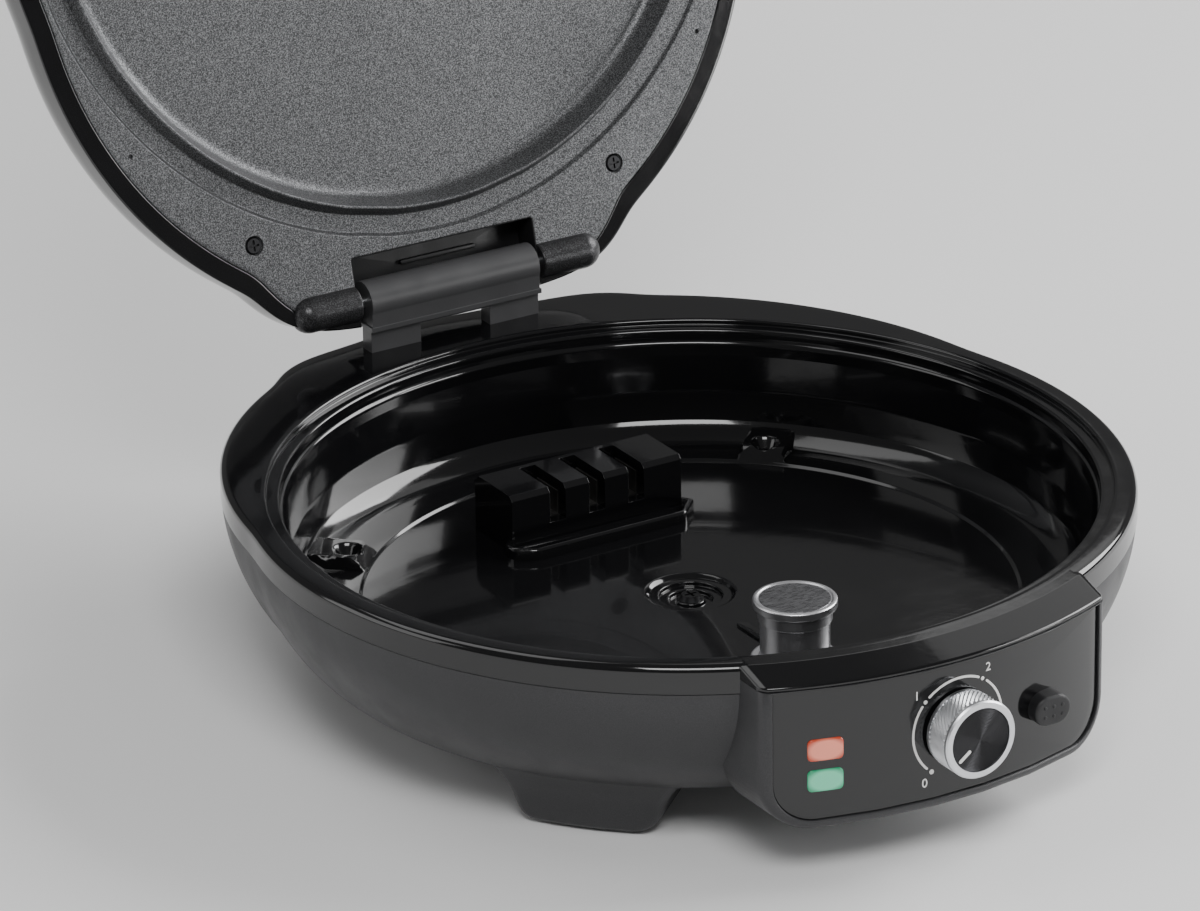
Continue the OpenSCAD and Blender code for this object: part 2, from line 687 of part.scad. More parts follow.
// The control sits behind the panel's wall and is held by a nut on its bush
wall_back_y = wall_face_r - panel_wall;
control_front = sqrt(pow(wall_back_y, 2) - pow(control_r, 2)) - 0.1;
module control_body() color("#b9bbbe") difference() {
    union() {
        translate([0, -control_front + control_l, knob_z]) rotate([90, 0, 0])
            cylinder(r = control_r, h = control_l);
        translate([0, -control_front + eps, knob_z]) rotate([90, 0, 0])
            cylinder(r = bush_r, h = panel_r - control_front);
        for (s = [-1, 1]) translate([s * 6 - 2, -control_front + control_l - eps, knob_z - 1])
            cube([4, 5, 2]);
    }
    translate([0, -100, knob_z]) rotate([90, 0, 0]) cylinder(r = shaft_r + run_gap, h = 200);
}
module control_nut() color("#8f9296") difference() {
    translate([0, -wall_face_r, knob_z]) rotate([90, 0, 0]) cylinder(r = nut_r, h = fascia_t - 0.2, $fn = 6);
    translate([0, -100, knob_z]) rotate([90, 0, 0]) cylinder(r = bush_r + 0.02, h = 200);
}
knob_back = panel_r + knob_gap;
knob_face = knob_back + knob_l;
module control_shaft() color("#a7a9ad")
    translate([0, -control_front + control_l - 2, knob_z]) rotate([90, 0, 0])
        cylinder(r = shaft_r, h = knob_face - 5 - control_front + control_l - 2);

// Diamond knurl: a ring of pointed four-sided studs between two plain ends
module knurl(r, z0, z1, n, rows, h) {
    dz = (z1 - z0) / rows;
    function on(r, k, z) = [r * cos(360 * k / n), r * sin(360 * k / n), z];
    // Valley rings are shifted by half a diamond from row to row
    rings = [for (i = [0:2 * rows]) let (z = z0 + i * dz / 2)
        [for (k = [0:2 * n - 1])
            on(r + ((k + i) % 2 == 0 && i > 0 && i < 2 * rows ? h : 0), k / 2, z)]];
    loft(rings);
}
module knob() color("#c9cbce") translate([0, -knob_back, knob_z]) rotate([90, 0, 0])
    difference() {
        union() {
            knurl(knob_r - knurl_h, 1.2, knob_l - 1.8, knurl_n, knurl_rows, knurl_h);
            cylinder(r = knob_r - knurl_h / 2, h = 1.5);
            translate([0, 0, knob_l - 2.1])
                rotate_extrude() polygon([[0, 0], [knob_r - knurl_h / 2, 0], [knob_r, 0.4],
                    [knob_r, 1.5], [knob_r - 0.6, 2.1], [0, 2.1]]);
        }
        translate([0, 0, knob_l - disc_t]) cylinder(r = knob_r - knob_ring, h = 5);
        translate([0, 0, -1]) cylinder(r = shaft_r + 0.02, h = knob_l - 4);
        translate([0, 0, -1]) cylinder(r = nut_r + 1.5, h = 3);
    }
module knob_disc() color("#101012") translate([0, -knob_back, knob_z]) rotate([90, 0, 0])
    difference() {
        translate([0, 0, knob_l - disc_t]) cylinder(r = knob_r - knob_ring - 0.05, h = disc_t - 0.3);
        pointer_block(0.05);
    }
pointer_angle = 143;
module pointer_block(grow) {
    rotate([0, 0, pointer_angle]) translate([-0.8 - grow, 6 - grow, knob_l - 0.9 - grow])
        cube([1.6 + 2 * grow, 6 + 2 * grow, 0.6 + 2 * grow]);
}
module knob_pointer() color("white")
    translate([0, -knob_back, knob_z]) rotate([90, 0, 0]) pointer_block(0);

// Push button, its spring and the switch that it works
plunger_r = 2.5;
flange = 1.6;
// The flange's front lies just behind the panel's curved wall
flange_y = sqrt(pow(wall_back_y, 2) - pow(button_x + button_w / 2 + flange, 2)) - slide_gap;
switch_y = flange_y - flange - 9;
module push_button() color("#17181a") translate([button_x, 0, button_z]) difference() {
    union() {
        forward(flange_y - eps, -button_face_y + button_proud - 0.8) button_shape(0);
        forward(-button_face_y + button_proud - 0.8 - eps, -button_face_y + button_proud)
            button_shape(-0.7);
        forward(flange_y - flange, flange_y) button_shape(flange);
        translate([0, -flange_y + flange - eps, 0]) rotate([-90, 0, 0])
            cylinder(r = plunger_r, h = 10, $fn = 32);
    }
    for (x = [-4, 0, 4], z = [-2, 2])
        translate([x, button_face_y - button_proud + 0.4, z]) rotate([90, 0, 0])
            cylinder(r = 0.8, h = 2, $fn = 20);
}
module button_spring() color("#b0b2b5") translate([button_x, -flange_y + flange + 0.6, button_z])
    rotate([-90, 0, 0]) coil(4.4, 0.5, 0, 7.8, 4);
module button_switch() color("#222428") difference() {
    translate([button_x, 0, button_z]) union() {
        forward(switch_y - 6, switch_y) translate([-13, -6.5]) square([26, 13]);
        // Arms that reach the panel's wall on either side of the button
        for (s = [-1, 1]) forward(switch_y - 6, switch_y + 24) translate([s * 12 - 1, -6.5]) square([2, 13]);
    }
    difference() {
        cylinder(r = 250, h = base_h);
        translate([0, 0, -1]) cylinder(r = wall_back_y - 0.1, h = base_h + 2, $fn = 180);
    }
    translate([button_x, 0, button_z]) forward(switch_y - 5, switch_y + 2) circle(r = plunger_r + 0.5, $fn = 32);
}

// Spring-loaded sensor that touches the pan
cup_r = sleeve_r - sleeve_t - 0.15;
cup_top = floor_z + sensor_h - cap_t - sleeve_t - sensor_travel - 0.8;
module sensor_head() color("#d4d6d9") translate([0, -sensor_y, 0]) {
    translate([0, 0, floor_z + sensor_h - cap_t])
        rotate_extrude() polygon(concat([[0, 0], [cap_r - 1, 0]],
            arc(cap_r - 1, 1, 1, -90, 0, 4), arc(cap_r - 1, cap_t - 1, 1, 0, 90, 4),
            [[cap_r - 2, cap_t], [cap_r - 2.4, cap_t - 0.3], [0, cap_t - 0.3]]));
    difference() {
        translate([0, 0, floor_z + sensor_h - cap_t - sleeve_l])
            cylinder(r = sleeve_r, h = sleeve_l + eps);
        translate([0, 0, floor_z]) cylinder(r = sleeve_r - sleeve_t, h = sensor_h - cap_t - sleeve_t);
    }
}
module sensor_cup() color("#c2c4c8") translate([0, -sensor_y, floor_z]) difference() {
    union() {
        cylinder(r = cup_r, h = cup_top - floor_z);
        cylinder(r = sleeve_r + 3, h = 1.5);
    }
    translate([0, 0, 1.5]) cylinder(r = cup_r - sleeve_t, h = 40);
    translate([0, 0, -1]) cylinder(r = 3, h = 5);
}
module sensor_spring() color("#a9abaf") translate([0, -sensor_y, 0])
    coil(9, 0.6, floor_z + 2.2, floor_z + sensor_h - cap_t - sleeve_t - 0.7, 4);

module thermistor() color("#c8a27a") translate([0, -sensor_y, floor_z + sensor_h - cap_t - sleeve_t - 2.4])
    cylinder(r = 4, h = 2.4);

// Socket block for the pan's three blades
module terminal_block() color("#121214") translate([0, socket_y, floor_z]) difference() {
    translate([-socket_w / 2, 0, 0]) rotate([90, 0, 90]) linear_extrude(height = socket_w)
        polygon([[0, 0], [0, socket_h - 2], [2, socket_h], [socket_d - 3, socket_h],
            [socket_d, socket_h - 3], [socket_d, 0]]);
    for (i = [-1:1]) translate([i * slot_pitch, -1, socket_h - slot_d])
        translate([-slot_w / 2, 0, 0]) cube([slot_w, slot_l + 1, slot_d + 1]);
    translate([-socket_w / 2 + 8, 8, -1]) cube([socket_w - 16, socket_d - 16, 5]);
    for (i = [-1:1]) translate([i * slot_pitch - tail_w / 2 - 0.2, 6 + slot_l / 2 - 4.2, 0])
        cube([tail_w + 0.4, leaf_t + 0.4, socket_h]);
}
tail_w = 3;
tail_l = socket_h - slot_d - 2;
module terminal_contacts() color("#c9a24a") for (i = [-1:1])
    translate([i * slot_pitch, socket_y + 6, floor_z + socket_h - slot_d]) {
        translate([-slot_w / 2, 0, 0]) cube([slot_w, slot_l - 8, leaf_t]);
        for (s = [0, 1]) mirror([s, 0, 0]) translate([slot_w / 2 - leaf_t, 0, 0])
            cube([leaf_t, slot_l - 8, slot_d - 5]);
        // Tail that goes down through the block to its lead
        translate([-tail_w / 2, slot_l / 2 - 4, -tail_l]) cube([tail_w, leaf_t, tail_l + eps]);
    }

// Hinge: a barrel on two legs that slide in the rear deck
ledge_z = -barrel_r - ledge_t;
lug = 2;
module hinge_bracket() color("#232427") translate([0, hinge_y, hinge_z]) difference() {
    union() {
        rotate([0, 90, 0]) translate([0, 0, -barrel_w]) cylinder(r = barrel_r, h = 2 * barrel_w);
        translate([-barrel_w, -barrel_r + 0.6, ledge_z]) cube([2 * barrel_w, barrel_r + 3, -ledge_z]);
        translate([-barrel_w - 0.6, -barrel_r, ledge_z]) cube([2 * barrel_w + 1.2, barrel_r + 3.8, ledge_t]);
        for (s = [-1, 1]) translate([s * (leg_gap + barrel_w) / 2 - deck_slot_w / 2, -leg_front, -leg_l])
            cube([deck_slot_w, leg_t, leg_l + ledge_z + eps]);
        translate([-barrel_w, -leg_front, ledge_z - 1.5]) cube([2 * barrel_w, leg_t, 1.5 + eps]);
        // Lugs that keep the legs in the guide
        for (s = [0, 1]) mirror([s, 0, 0]) translate([barrel_w - eps, -leg_front, -leg_l])
            cube([lug, leg_t, 4]);
    }
    rotate([0, 90, 0]) translate([0, 0, -barrel_w - 1])
        cylinder(r = pin_r + run_gap, h = 2 * barrel_w + 2);
}
guide_z0 = hinge_z - leg_l - float_travel + 2;
guide_screw_at = [for (s = [-1, 1]) [s * (barrel_w + lug + 10), leg_y0 + leg_t / 2]];
tab_z = base_h - 8;
module hinge_guide() color("#1b1c1f") difference() {
    union() {
        translate([-barrel_w - lug - 3, leg_y0 - 3, guide_z0])
            cube([2 * (barrel_w + lug + 3), leg_t + 4.9, base_h - upper_wall - guide_z0 - 0.1]);
        translate([-barrel_w - lug - 15, leg_y0 - 1, tab_z - 3.1]) cube([2 * (barrel_w + lug + 15), leg_t + 2, 3]);
    }
    for (s = [0, 1]) mirror([s, 0, 0]) {
        translate([leg_gap - slide_gap, leg_y0 - slide_gap, guide_z0 - 1])
            cube([deck_slot_w + 2 * slide_gap, leg_t + 2 * slide_gap, 60]);
        // Wider room low down, where the lugs run
        translate([leg_gap - slide_gap, leg_y0 - slide_gap, guide_z0 - 1])
            cube([deck_slot_w + lug + 2 * slide_gap, leg_t + 2 * slide_gap,
                hinge_z - leg_l + 4 + slide_gap - guide_z0 + 1]);
    }
    translate([-leg_gap + 3, leg_y0 - 5, guide_z0 + 5]) cube([2 * leg_gap - 6, leg_t + 10, 60]);
    for (p = guide_screw_at) translate([p[0], p[1], guide_z0]) cylinder(r = 1.8, h = 60);
}
module guide_screws() color("#9a9ca0") for (p = guide_screw_at)
    translate([p[0], p[1], tab_z - 3.1]) rotate([180, 0, 0]) screw(3, 2, 1.5, 8);
// The lid's frame: the hinge axis is its X axis, and it is drawn shut
module in_lid() { translate([0, hinge_y, hinge_z]) rotate([-lid_open, 0, 0]) children(); }
module on_lid_axis() { translate([0, -hinge_y, 0]) children(); }

pin_fit = 0;
module hinge_pin() color("#b4b6ba") in_lid()
    rotate([0, 90, 0]) translate([0, 0, -pin_l]) cylinder(r = pin_r, h = 2 * pin_l);

lid_back = hinge_y + lid_heel;
dome_rim = 8;
function dome_inset(t) = dome_in * (1 - pow(max(cos(t), 0), 2 / dome_power));
function dome_z(t) = -face_drop + dome_rim + (dome_h - dome_rim) * pow(sin(t), 2 / dome_power);
function dome_rings(inset, low) =
    concat([plan_ring(-inset, lid_back - inset, low)],
        [for (i = [0:7]) let (t = 90 * i / 7, d = dome_inset(t) + inset)
            plan_ring(-d, lid_back - d, dome_z(t) - inset)],
        [plan_ring(-dome_in - 55 - inset, lid_back - dome_in - 55 - inset,
            -face_drop + dome_h + dome_crown - inset)]);
flange_top = -face_drop + plate_t + 1.8;
module lid_shell() color("#0a0a0b") in_lid() {
    difference() {
        union() {
            difference() {
                on_lid_axis() loft(dome_rings(0, -face_drop));
                on_lid_axis() loft(dome_rings(lid_wall, flange_top));
                // Inside the flange that the cooking plate sits against
                on_lid_axis() translate([0, 0, -face_drop - 1])
                    linear_extrude(height = flange_top + face_drop + 2)
                        polygon(plan_2d(-plate_inset - 4, lid_back - 6));
                on_lid_axis() translate([0, 0, -face_drop - 1])
                    cylinder(r = step_r + 1, h = flange_top + face_drop + 2);
            }
            // Pocket for the hinge's barrel
            translate([-notch_w - lid_wall, -notch_v - lid_wall, -face_drop])
                cube([2 * (notch_w + lid_wall), notch_v + lid_wall + lid_heel - 1.4, pocket_h + lid_wall + face_drop]);
            // Posts for the screws of the cooking plate
            on_lid_axis() for (p = plate_screw_at) translate([p[0], p[1], post_z(p)])
                cylinder(r = post_r, h = post_top(p) - post_z(p));
        }
        difference() {
            translate([-notch_w, -notch_v, -face_drop - 1])
                cube([2 * notch_w, notch_v + lid_heel + 5, pocket_h + face_drop + 1]);
            translate([-15, -12, pocket_h - 2]) cube([37, 2, 3]);
        }
        on_lid_axis() for (p = plate_screw_at) translate([p[0], p[1], -face_drop])
            cylinder(r = 1.75, h = 12);
        on_lid_axis() for (a = handle_screw_at) rotate([0, 0, a]) translate([rim_r - 20, 0, handle_screw_z])
            rotate([0, 90, 0]) cylinder(r = 1.75, h = 30);
        // Seat of the cooking plate
        on_lid_axis() translate([0, 0, -face_drop - 1])
            linear_extrude(height = plate_t + 1 + eps) polygon(plan_2d(-plate_inset, plate_back + plate_gap));
        rotate([0, 90, 0]) translate([0, 0, -pin_l - 2]) cylinder(r = pin_r + 0.3, h = 2 * pin_l + 4);
        // Room for the plate's pin bosses
        rotate([0, 90, 0]) translate([0, 0, -boss_end - 1])
            cylinder(r = pin_boss_r + 0.3, h = 2 * boss_end + 2);
    }
}

plate_back = hinge_y + pin_boss_r + 0.4;
front_screw_r = 164.4;
// How much further back the plate is inside the step
back_t = 2.3;
plate_screw_at = [[-plate_screw_x, hinge_y - plate_screw_v], [plate_screw_x, hinge_y - plate_screw_v],
    [-60, -sqrt(pow(front_screw_r, 2) - 3600)], [60, -sqrt(pow(front_screw_r, 2) - 3600)]];
// Posts behind the plate; each ends inside the dome's wall
post_r = 4.5;
function in_gutter(p) = norm(p) < step_r;
function post_z(p) = -face_drop + plate_t + (in_gutter(p) ? back_t : 0) + 0.1;
function screw_seat(p) = -face_drop + (in_gutter(p) ? gutter_drop : 0);
function post_top(p) =
    let (in_from_edge = plan_r(atan2(p[1], p[0]), 0, lid_back) - norm(p) - post_r)
    dome_z(acos(pow(1 - in_from_edge / dome_in, dome_power / 2))) - 0.7;
// Section of the plate inside its step: gutter, ridge, wall of the dish and its floor
function plate_section() = let (f = -face_drop, b = f + plate_t + back_t, d = f + disc_drop) concat(
    [[0, d]], arc(disc_r, d - 3.6, 3.6, 90, 28, 6),
    [[bead_r - 0.8, f - bead_h + 0.6], [bead_r - 0.4, f - bead_h], [bead_r + 0.3, f - bead_h],
        [bead_r + 0.7, f - bead_h + 0.6], [bead_r + 3.1, f + gutter_drop],
        [step_r - 0.7, f + gutter_drop], [step_r + 0.5, f], [step_r + 0.5, b], [bead_r, b]],
    arc(disc_r + 1, d + plate_t - 5.6, 5.6, 28, 90, 6), [[0, d + plate_t]]);
module lid_plate() color("#4b4c4e") in_lid() difference() {
    union() {
        on_lid_axis() difference() {
            translate([0, 0, -face_drop])
                linear_extrude(height = plate_t) polygon(plan_2d(-plate_inset - plate_gap, plate_back));
            translate([0, 0, -face_drop - 1]) cylinder(r = step_r, h = plate_t + 2, $fn = 144);
        }
        on_lid_axis() rotate_extrude($fn = 144) polygon(plate_section());
        // Bosses that hold the hinge pin
        for (s = [0, 1]) mirror([s, 0, 0]) {
            rotate([0, 90, 0]) translate([0, 0, notch_w + plate_gap])
                cylinder(r = pin_boss_r, h = boss_end - notch_w - plate_gap - pin_boss_r);
            translate([boss_end - pin_boss_r, 0, 0]) sphere(r = pin_boss_r, $fn = 48);
        }
    }
    // Screw seats and the two small holes
    on_lid_axis() {
        for (p = plate_screw_at) translate([p[0], p[1], screw_seat(p) - 1]) {
            cylinder(r = 4.3, h = 2.2);
            cylinder(r = 1.9, h = 10);
        }
        for (s = [-1, 1]) translate([s * 138, hinge_y - 82, -face_drop - 1]) cylinder(r = 1, h = 3, $fn = 24);
    }
    translate([-notch_w - plate_gap, -notch_v - plate_gap, -20])
        cube([2 * (notch_w + plate_gap), 60, 19.9 + plate_t]);
    rotate([0, 90, 0]) translate([0, 0, -pin_l - 0.5]) cylinder(r = pin_r + pin_fit, h = 2 * pin_l + 1);
}
module plate_screws() color("#3a3b3e") in_lid() on_lid_axis() for (p = plate_screw_at)
    translate([p[0], p[1], screw_seat(p) + 1.2]) rotate([180, 0, 0]) screw(3.9, 1.1, 1.7, 8);

heater_z = -face_drop + plate_t + disc_drop + tube_r;
// One of the heater's ends, and where its pin stops
function heater_end(s) =
    [s * heater_r * sin(heater_open / 2), heater_r * cos(heater_open / 2), heater_z];
function heater_pin(s) = heater_end(s) + [s * 4, 42, 0];
module lid_heater() color("#55565a") in_lid() on_lid_axis() {
    translate([0, 0, heater_z]) rotate([0, 0, 90 + heater_open / 2])
        rotate_extrude(angle = 360 - heater_open)
            translate([heater_r, 0]) circle(r = tube_r, $fn = 64);
    for (s = [-1, 1]) {
        rod(heater_end(s) - [0, tube_r * 0.6, 0], heater_end(s) + [s * 3, 30, 0], tube_r - 0.05);
        rod(heater_end(s) + [s * 3, 29, 0], heater_pin(s), 1.2);
    }
}
module heater_clips() color("#8b8e92") in_lid() on_lid_axis() for (a = [0, 120, 240])
    rotate([0, 0, a - 60]) translate([heater_r, 0, heater_z - tube_r]) difference() {
        translate([-13, -5, 0]) cube([26, 10, 2 * tube_r + 1.4]);
        translate([0, 10, tube_r]) rotate([90, 0, 0]) cylinder(r = tube_r + 0.05, h = 20, $fn = 32);
        translate([-tube_r - 0.05, -10, -1]) cube([2 * tube_r + 0.1, 20, tube_r + 1]);
        for (s = [-1, 1]) translate([s * 17 - 10, -10, 1.2]) cube([20, 20, 20]);
    }
shield_z = heater_z + tube_r + 3;
module heat_shield() color("#9fa2a6") in_lid() on_lid_axis() {
    translate([0, 0, shield_z]) difference() {
        cylinder(r = disc_r - 11, h = 0.5);
        translate([0, 0, -1]) cylinder(r = 40, h = 3);
    }
    for (a = [30, 150, 270]) rotate([0, 0, a]) translate([disc_r - 19, 0, heater_z - tube_r])
        cylinder(r = 3, h = shield_z - heater_z + tube_r + eps, $fn = 32);
}
fuse_y = heater_r + 22;
module lid_fuse() color("#d8d9db") in_lid() on_lid_axis()
    translate([-8, fuse_y, heater_z - tube_r + 2]) rotate([0, 90, 0]) cylinder(r = 2, h = 16, $fn = 48);

// Handle: a bow on the front of the lid
module lid_handle() color("#0c0c0d") in_lid() on_lid_axis() difference() {
    intersection() {
        translate([0, 0, -face_drop + 6]) linear_extrude(height = handle_t) difference() {
            polygon(concat(
                arc(handle_w - 16, -rim_r - handle_reach + 16, 16, 0, -90),
                arc(-handle_w + 16, -rim_r - handle_reach + 16, 16, -90, -180),
                [[-handle_w - 8, -rim_r + 14], [handle_w + 8, -rim_r + 14]]));
            polygon(concat(
                arc(handle_w - 26, -rim_r - handle_reach + handle_d + 8, 8, 0, -90),
                arc(-handle_w + 26, -rim_r - handle_reach + handle_d + 8, 8, -90, -180),
                [[-handle_w + 12, -rim_r - 6], [handle_w - 12, -rim_r - 6]]));
        }
        translate([-100, 0, 0]) rotate([90, 0, 90]) linear_extrude(height = 200)
            polygon(concat(arc(-rim_r - handle_reach + handle_t / 2, -face_drop + 6 + handle_t / 2,
                handle_t / 2, 90, 270), [[0, -face_drop + 6], [0, -face_drop + 6 + handle_t]]));
    }
    // The lid's round front, grown by a little clearance
    rotate_extrude($fn = 180) polygon(concat([[0, -10], [rim_r + 0.3, -10]],
        [for (t = [0:90 / 7:89]) [rim_r + 0.3 - dome_inset(t), dome_z(t)]], [[0, dome_z(80)]]));
    for (a = handle_screw_at) rotate([0, 0, a]) translate([rim_r - 20, 0, handle_screw_z])
        rotate([0, 90, 0]) cylinder(r = 1.75, h = 30);
}
handle_screw_at = [-90 - 15, -90 + 15];
handle_screw_z = -face_drop + 12;
module handle_screws() color("#9a9ca0") in_lid() on_lid_axis() for (a = handle_screw_at)
    rotate([0, 0, a]) translate([rim_r - lid_wall - 1.5, 0, handle_screw_z])
        rotate([0, -90, 0]) screw(3.6, 2, 1.7, 10);

// Cord entry at the back, and the block where its leads are joined
gland_r = cord_r + 3.4;
gland_y = base_back - 4 - gland_l + 3;
module cord_gland() color("#1a1a1b") translate([gland_x, gland_y, gland_z]) rotate([-90, 0, 0])
    difference() {
        union() {
            cylinder(r = gland_r - 0.05, h = gland_l);
            translate([0, 0, gland_l - 3]) cylinder(r = gland_r + 2, h = 3);
        }
        translate([0, 0, -1]) cylinder(r = cord_r, h = gland_l + 2);
    }
junction_at = [gland_x, hinge_y - 75, under_h + lower_wall];
module junction_block() color("#e4e2da") translate(junction_at) difference() {
    translate([-13, -7, 0]) cube([26, 14, 9]);
    for (x = [-8, 0, 8]) translate([x, 0, 4.5]) {
        rotate([90, 0, 0]) translate([0, 0, -10]) cylinder(r = 1.5, h = 20, $fn = 48);
        for (y = [-4, 4]) translate([0, y, 0]) cylinder(r = 1.2, h = 10, $fn = 48);
    }
}

wire_r = 1.2;
wire_z = under_h + lower_wall + 4.5;
// How far out from the middle the leads run before they rise behind the panel
lead_y = panel_r - 38.5;
// A place inside the panel, r from the base's axis, behind the lamps
function behind_lamps(r, z) = [-r * sin(lamp_angle), -r * cos(lamp_angle), z];
board_y = panel_r - board_back - 1.6 - wire_r;
tail_y = socket_y + slot_l / 2 + 2 + leaf_t + wire_r + 0.1;
control_y = -control_front + control_l + 5 + wire_r;
// Leads from the junction block to the socket, the control and the lamps
module base_wires() color("#a33a2c") {
    for (i = [-1:1]) let (from = junction_at + [8 * i, -5, 4.5])
        if (i == 1) {
            wire([from, from + [0, -8, 0], [-slot_pitch, tail_y, wire_z],
                [-slot_pitch, tail_y, floor_z + 2.5]], wire_r);
        } else if (i == 0) {
            wire([from, from + [0, -8, 0], [-50, 60, wire_z], [-40, 55 - lead_y, wire_z],
                [-20, -lead_y, wire_z + 2], [-6, control_y, knob_z]], wire_r);
        } else {
            wire([from, from + [0, -8, 0], [-72, 60, wire_z], [-70, -60, wire_z],
                [-60, 20 - lead_y, wire_z], behind_lamps(board_y, lamps_z[1] - 2)], wire_r);
        }
    // Switched leads back to the socket's other contacts
    wire([[0, tail_y, floor_z + 2.5], [0, tail_y, wire_z], [26, 60, wire_z], [30, 55 - lead_y, wire_z],
        [20, -lead_y, wire_z + 2], [6, control_y, knob_z]], wire_r);
    wire([[slot_pitch, tail_y, floor_z + 2.5], [slot_pitch, tail_y, wire_z], [40, 60, wire_z],
        [44, 45 - lead_y, wire_z], [40, 5 - lead_y, wire_z + 2], [button_x, -switch_y + 6 + wire_r, button_z - 3]],
        wire_r);
    // Lead of the pan sensor
    wire([[0, -sensor_y, floor_z + 6], [0, -sensor_y, wire_z], [0, -lead_y, wire_z + 2],
        [0, control_y - 4.8, knob_z - 6]], wire_r);
}
// Leads from the heater's pins, one of them through the fuse
fuse_z = heater_z - tube_r + 2;
module lid_wires() color("#d9d6cc") in_lid() on_lid_axis() {
    wire([heater_pin(1) + [0, 1.4, 0], heater_pin(1) + [3, 5, 0], [notch_w + 3.9, hinge_y - 27, heater_z + 3],
        [notch_w + 13.9, hinge_y - 10, heater_z + 3]], wire_r);
    wire([heater_pin(-1) + [0, 1.4, 0], heater_pin(-1) + [6, 3, 0], [-14, fuse_y + 8, fuse_z],
        [-9.4, fuse_y, fuse_z]], wire_r);
    wire([[9.4, fuse_y, fuse_z], [15, fuse_y + 5, fuse_z + 2], [10, hinge_y - 28, heater_z + 10],
        [-notch_w - 3.9, hinge_y - 28, heater_z + 6], [-notch_w - 13.9, hinge_y - 10, heater_z + 3]], wire_r);
}

lower_housing();
upper_housing();
foot_pads();
bowl_screws();
fascia();
power_lens();
ready_lens();
lamp_board();
indicator_lamps();
control_body();
control_nut();
control_shaft();
knob();
knob_disc();
knob_pointer();
push_button();
button_spring();
button_switch();
sensor_cup();
sensor_head();
sensor_spring();
thermistor();
terminal_block();
terminal_contacts();
hinge_bracket();
hinge_guide();
guide_screws();
hinge_pin();
lid_shell();
lid_plate();
plate_screws();
lid_heater();
heater_clips();
heat_shield();
lid_fuse();
lid_handle();
handle_screws();
cord_gland();
junction_block();
base_wires();
lid_wires();
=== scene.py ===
# %% [markdown]
# # An electric pizza maker with its lid open
# The object is a countertop cooker with a hinged lid: a round base with a deep bowl, a control
# panel at the front, and a domed lid that stands open behind it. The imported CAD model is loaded
# first and never changed. Each visible form is then worked out again as a smooth surface, in the
# same millimetres as the CAD drawing, because gloss plastic shows every flat facet.
# %% Load the frame
import json
import math

import bmesh
import bpy
import numpy as np
from mathutils import Matrix, Vector

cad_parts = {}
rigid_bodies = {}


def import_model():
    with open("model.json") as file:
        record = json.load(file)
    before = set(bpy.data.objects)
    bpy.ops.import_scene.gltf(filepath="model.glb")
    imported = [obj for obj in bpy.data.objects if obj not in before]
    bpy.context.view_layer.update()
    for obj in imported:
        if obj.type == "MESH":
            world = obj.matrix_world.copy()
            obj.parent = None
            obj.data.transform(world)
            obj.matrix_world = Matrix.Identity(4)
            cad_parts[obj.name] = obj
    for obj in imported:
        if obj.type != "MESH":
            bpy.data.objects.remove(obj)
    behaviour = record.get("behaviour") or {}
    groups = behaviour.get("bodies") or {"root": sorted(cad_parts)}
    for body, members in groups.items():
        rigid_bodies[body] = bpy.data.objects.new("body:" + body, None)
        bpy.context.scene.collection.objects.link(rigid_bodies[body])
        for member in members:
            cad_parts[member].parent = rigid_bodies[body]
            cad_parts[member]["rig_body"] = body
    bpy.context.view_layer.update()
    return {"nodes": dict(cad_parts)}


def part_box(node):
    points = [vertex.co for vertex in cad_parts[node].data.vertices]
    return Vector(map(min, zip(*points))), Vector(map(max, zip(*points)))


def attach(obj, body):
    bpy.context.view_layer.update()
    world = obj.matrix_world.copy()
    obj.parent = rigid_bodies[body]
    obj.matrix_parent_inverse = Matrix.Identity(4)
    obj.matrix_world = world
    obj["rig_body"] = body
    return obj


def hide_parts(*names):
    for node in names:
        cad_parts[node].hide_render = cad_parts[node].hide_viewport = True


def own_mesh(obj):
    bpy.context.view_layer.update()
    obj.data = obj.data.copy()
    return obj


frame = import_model()

# %% [markdown]
# ## Sizes that several pieces share
# These repeat the drawing's values, in millimetres. Heights are above the table; the round base is
# centred on the Z axis, its control panel looks along -Y, and the hinge is at +Y. Names with _R are
# radii, with _W half widths, and with _X, _Y and _Z places.
# %% Shared sizes
MM = 0.001
RIM_R, REAR_R, REAR_SHIFT = 180.5, 173.7, 33.0
EAR_W, EAR_TAPER, EAR_Y, EAR_POWER, BASE_BACK = 99.0, 0.5, 172.0, 14, 201.0
BASE_H, SEAM_Z, UNDER_Z, FLOOR_Z = 88.0, 76.0, 20.0, 38.0
PANEL_R, BOX_W, BOX_Z, BROW_Z = 193.5, 79.5, 22.5, 82.0
HINGE_Y, HINGE_Z, LID_OPEN = 193.0, 108.8, math.radians(104.5)
LID_BACK, PLATE_BACK = 203.5, 201.2
KNOB_Z, BUTTON_X, BUTTON_Z, SENSOR_Y = 54.5, 42.5, 51, -78
print("the rim is", 2 * RIM_R, "mm across and", BASE_H, "mm above the table")

# %% [markdown]
# ## From numbers to a mesh
# Every new piece starts as a grid of points, rows by columns. Neighbouring points make four-sided
# faces, and where a surface closes on itself the last row or column is joined to the first. Doubled
# points at poles are merged, and the faces are turned outwards, which works because each patch is
# a closed skin.
# %% Grid to mesh
def grid_faces(rows, cols, close_rows, close_cols):
    """Numbers of the four corners of every face between neighbouring rows and columns."""
    i = np.arange(rows if close_rows else rows - 1)[:, None]
    j = np.arange(cols if close_cols else cols - 1)[None, :]
    i2, j2 = (i + 1) % rows, (j + 1) % cols
    return np.stack([i * cols + j, i2 * cols + j, i2 * cols + j2, i * cols + j2], -1).reshape(-1, 4)


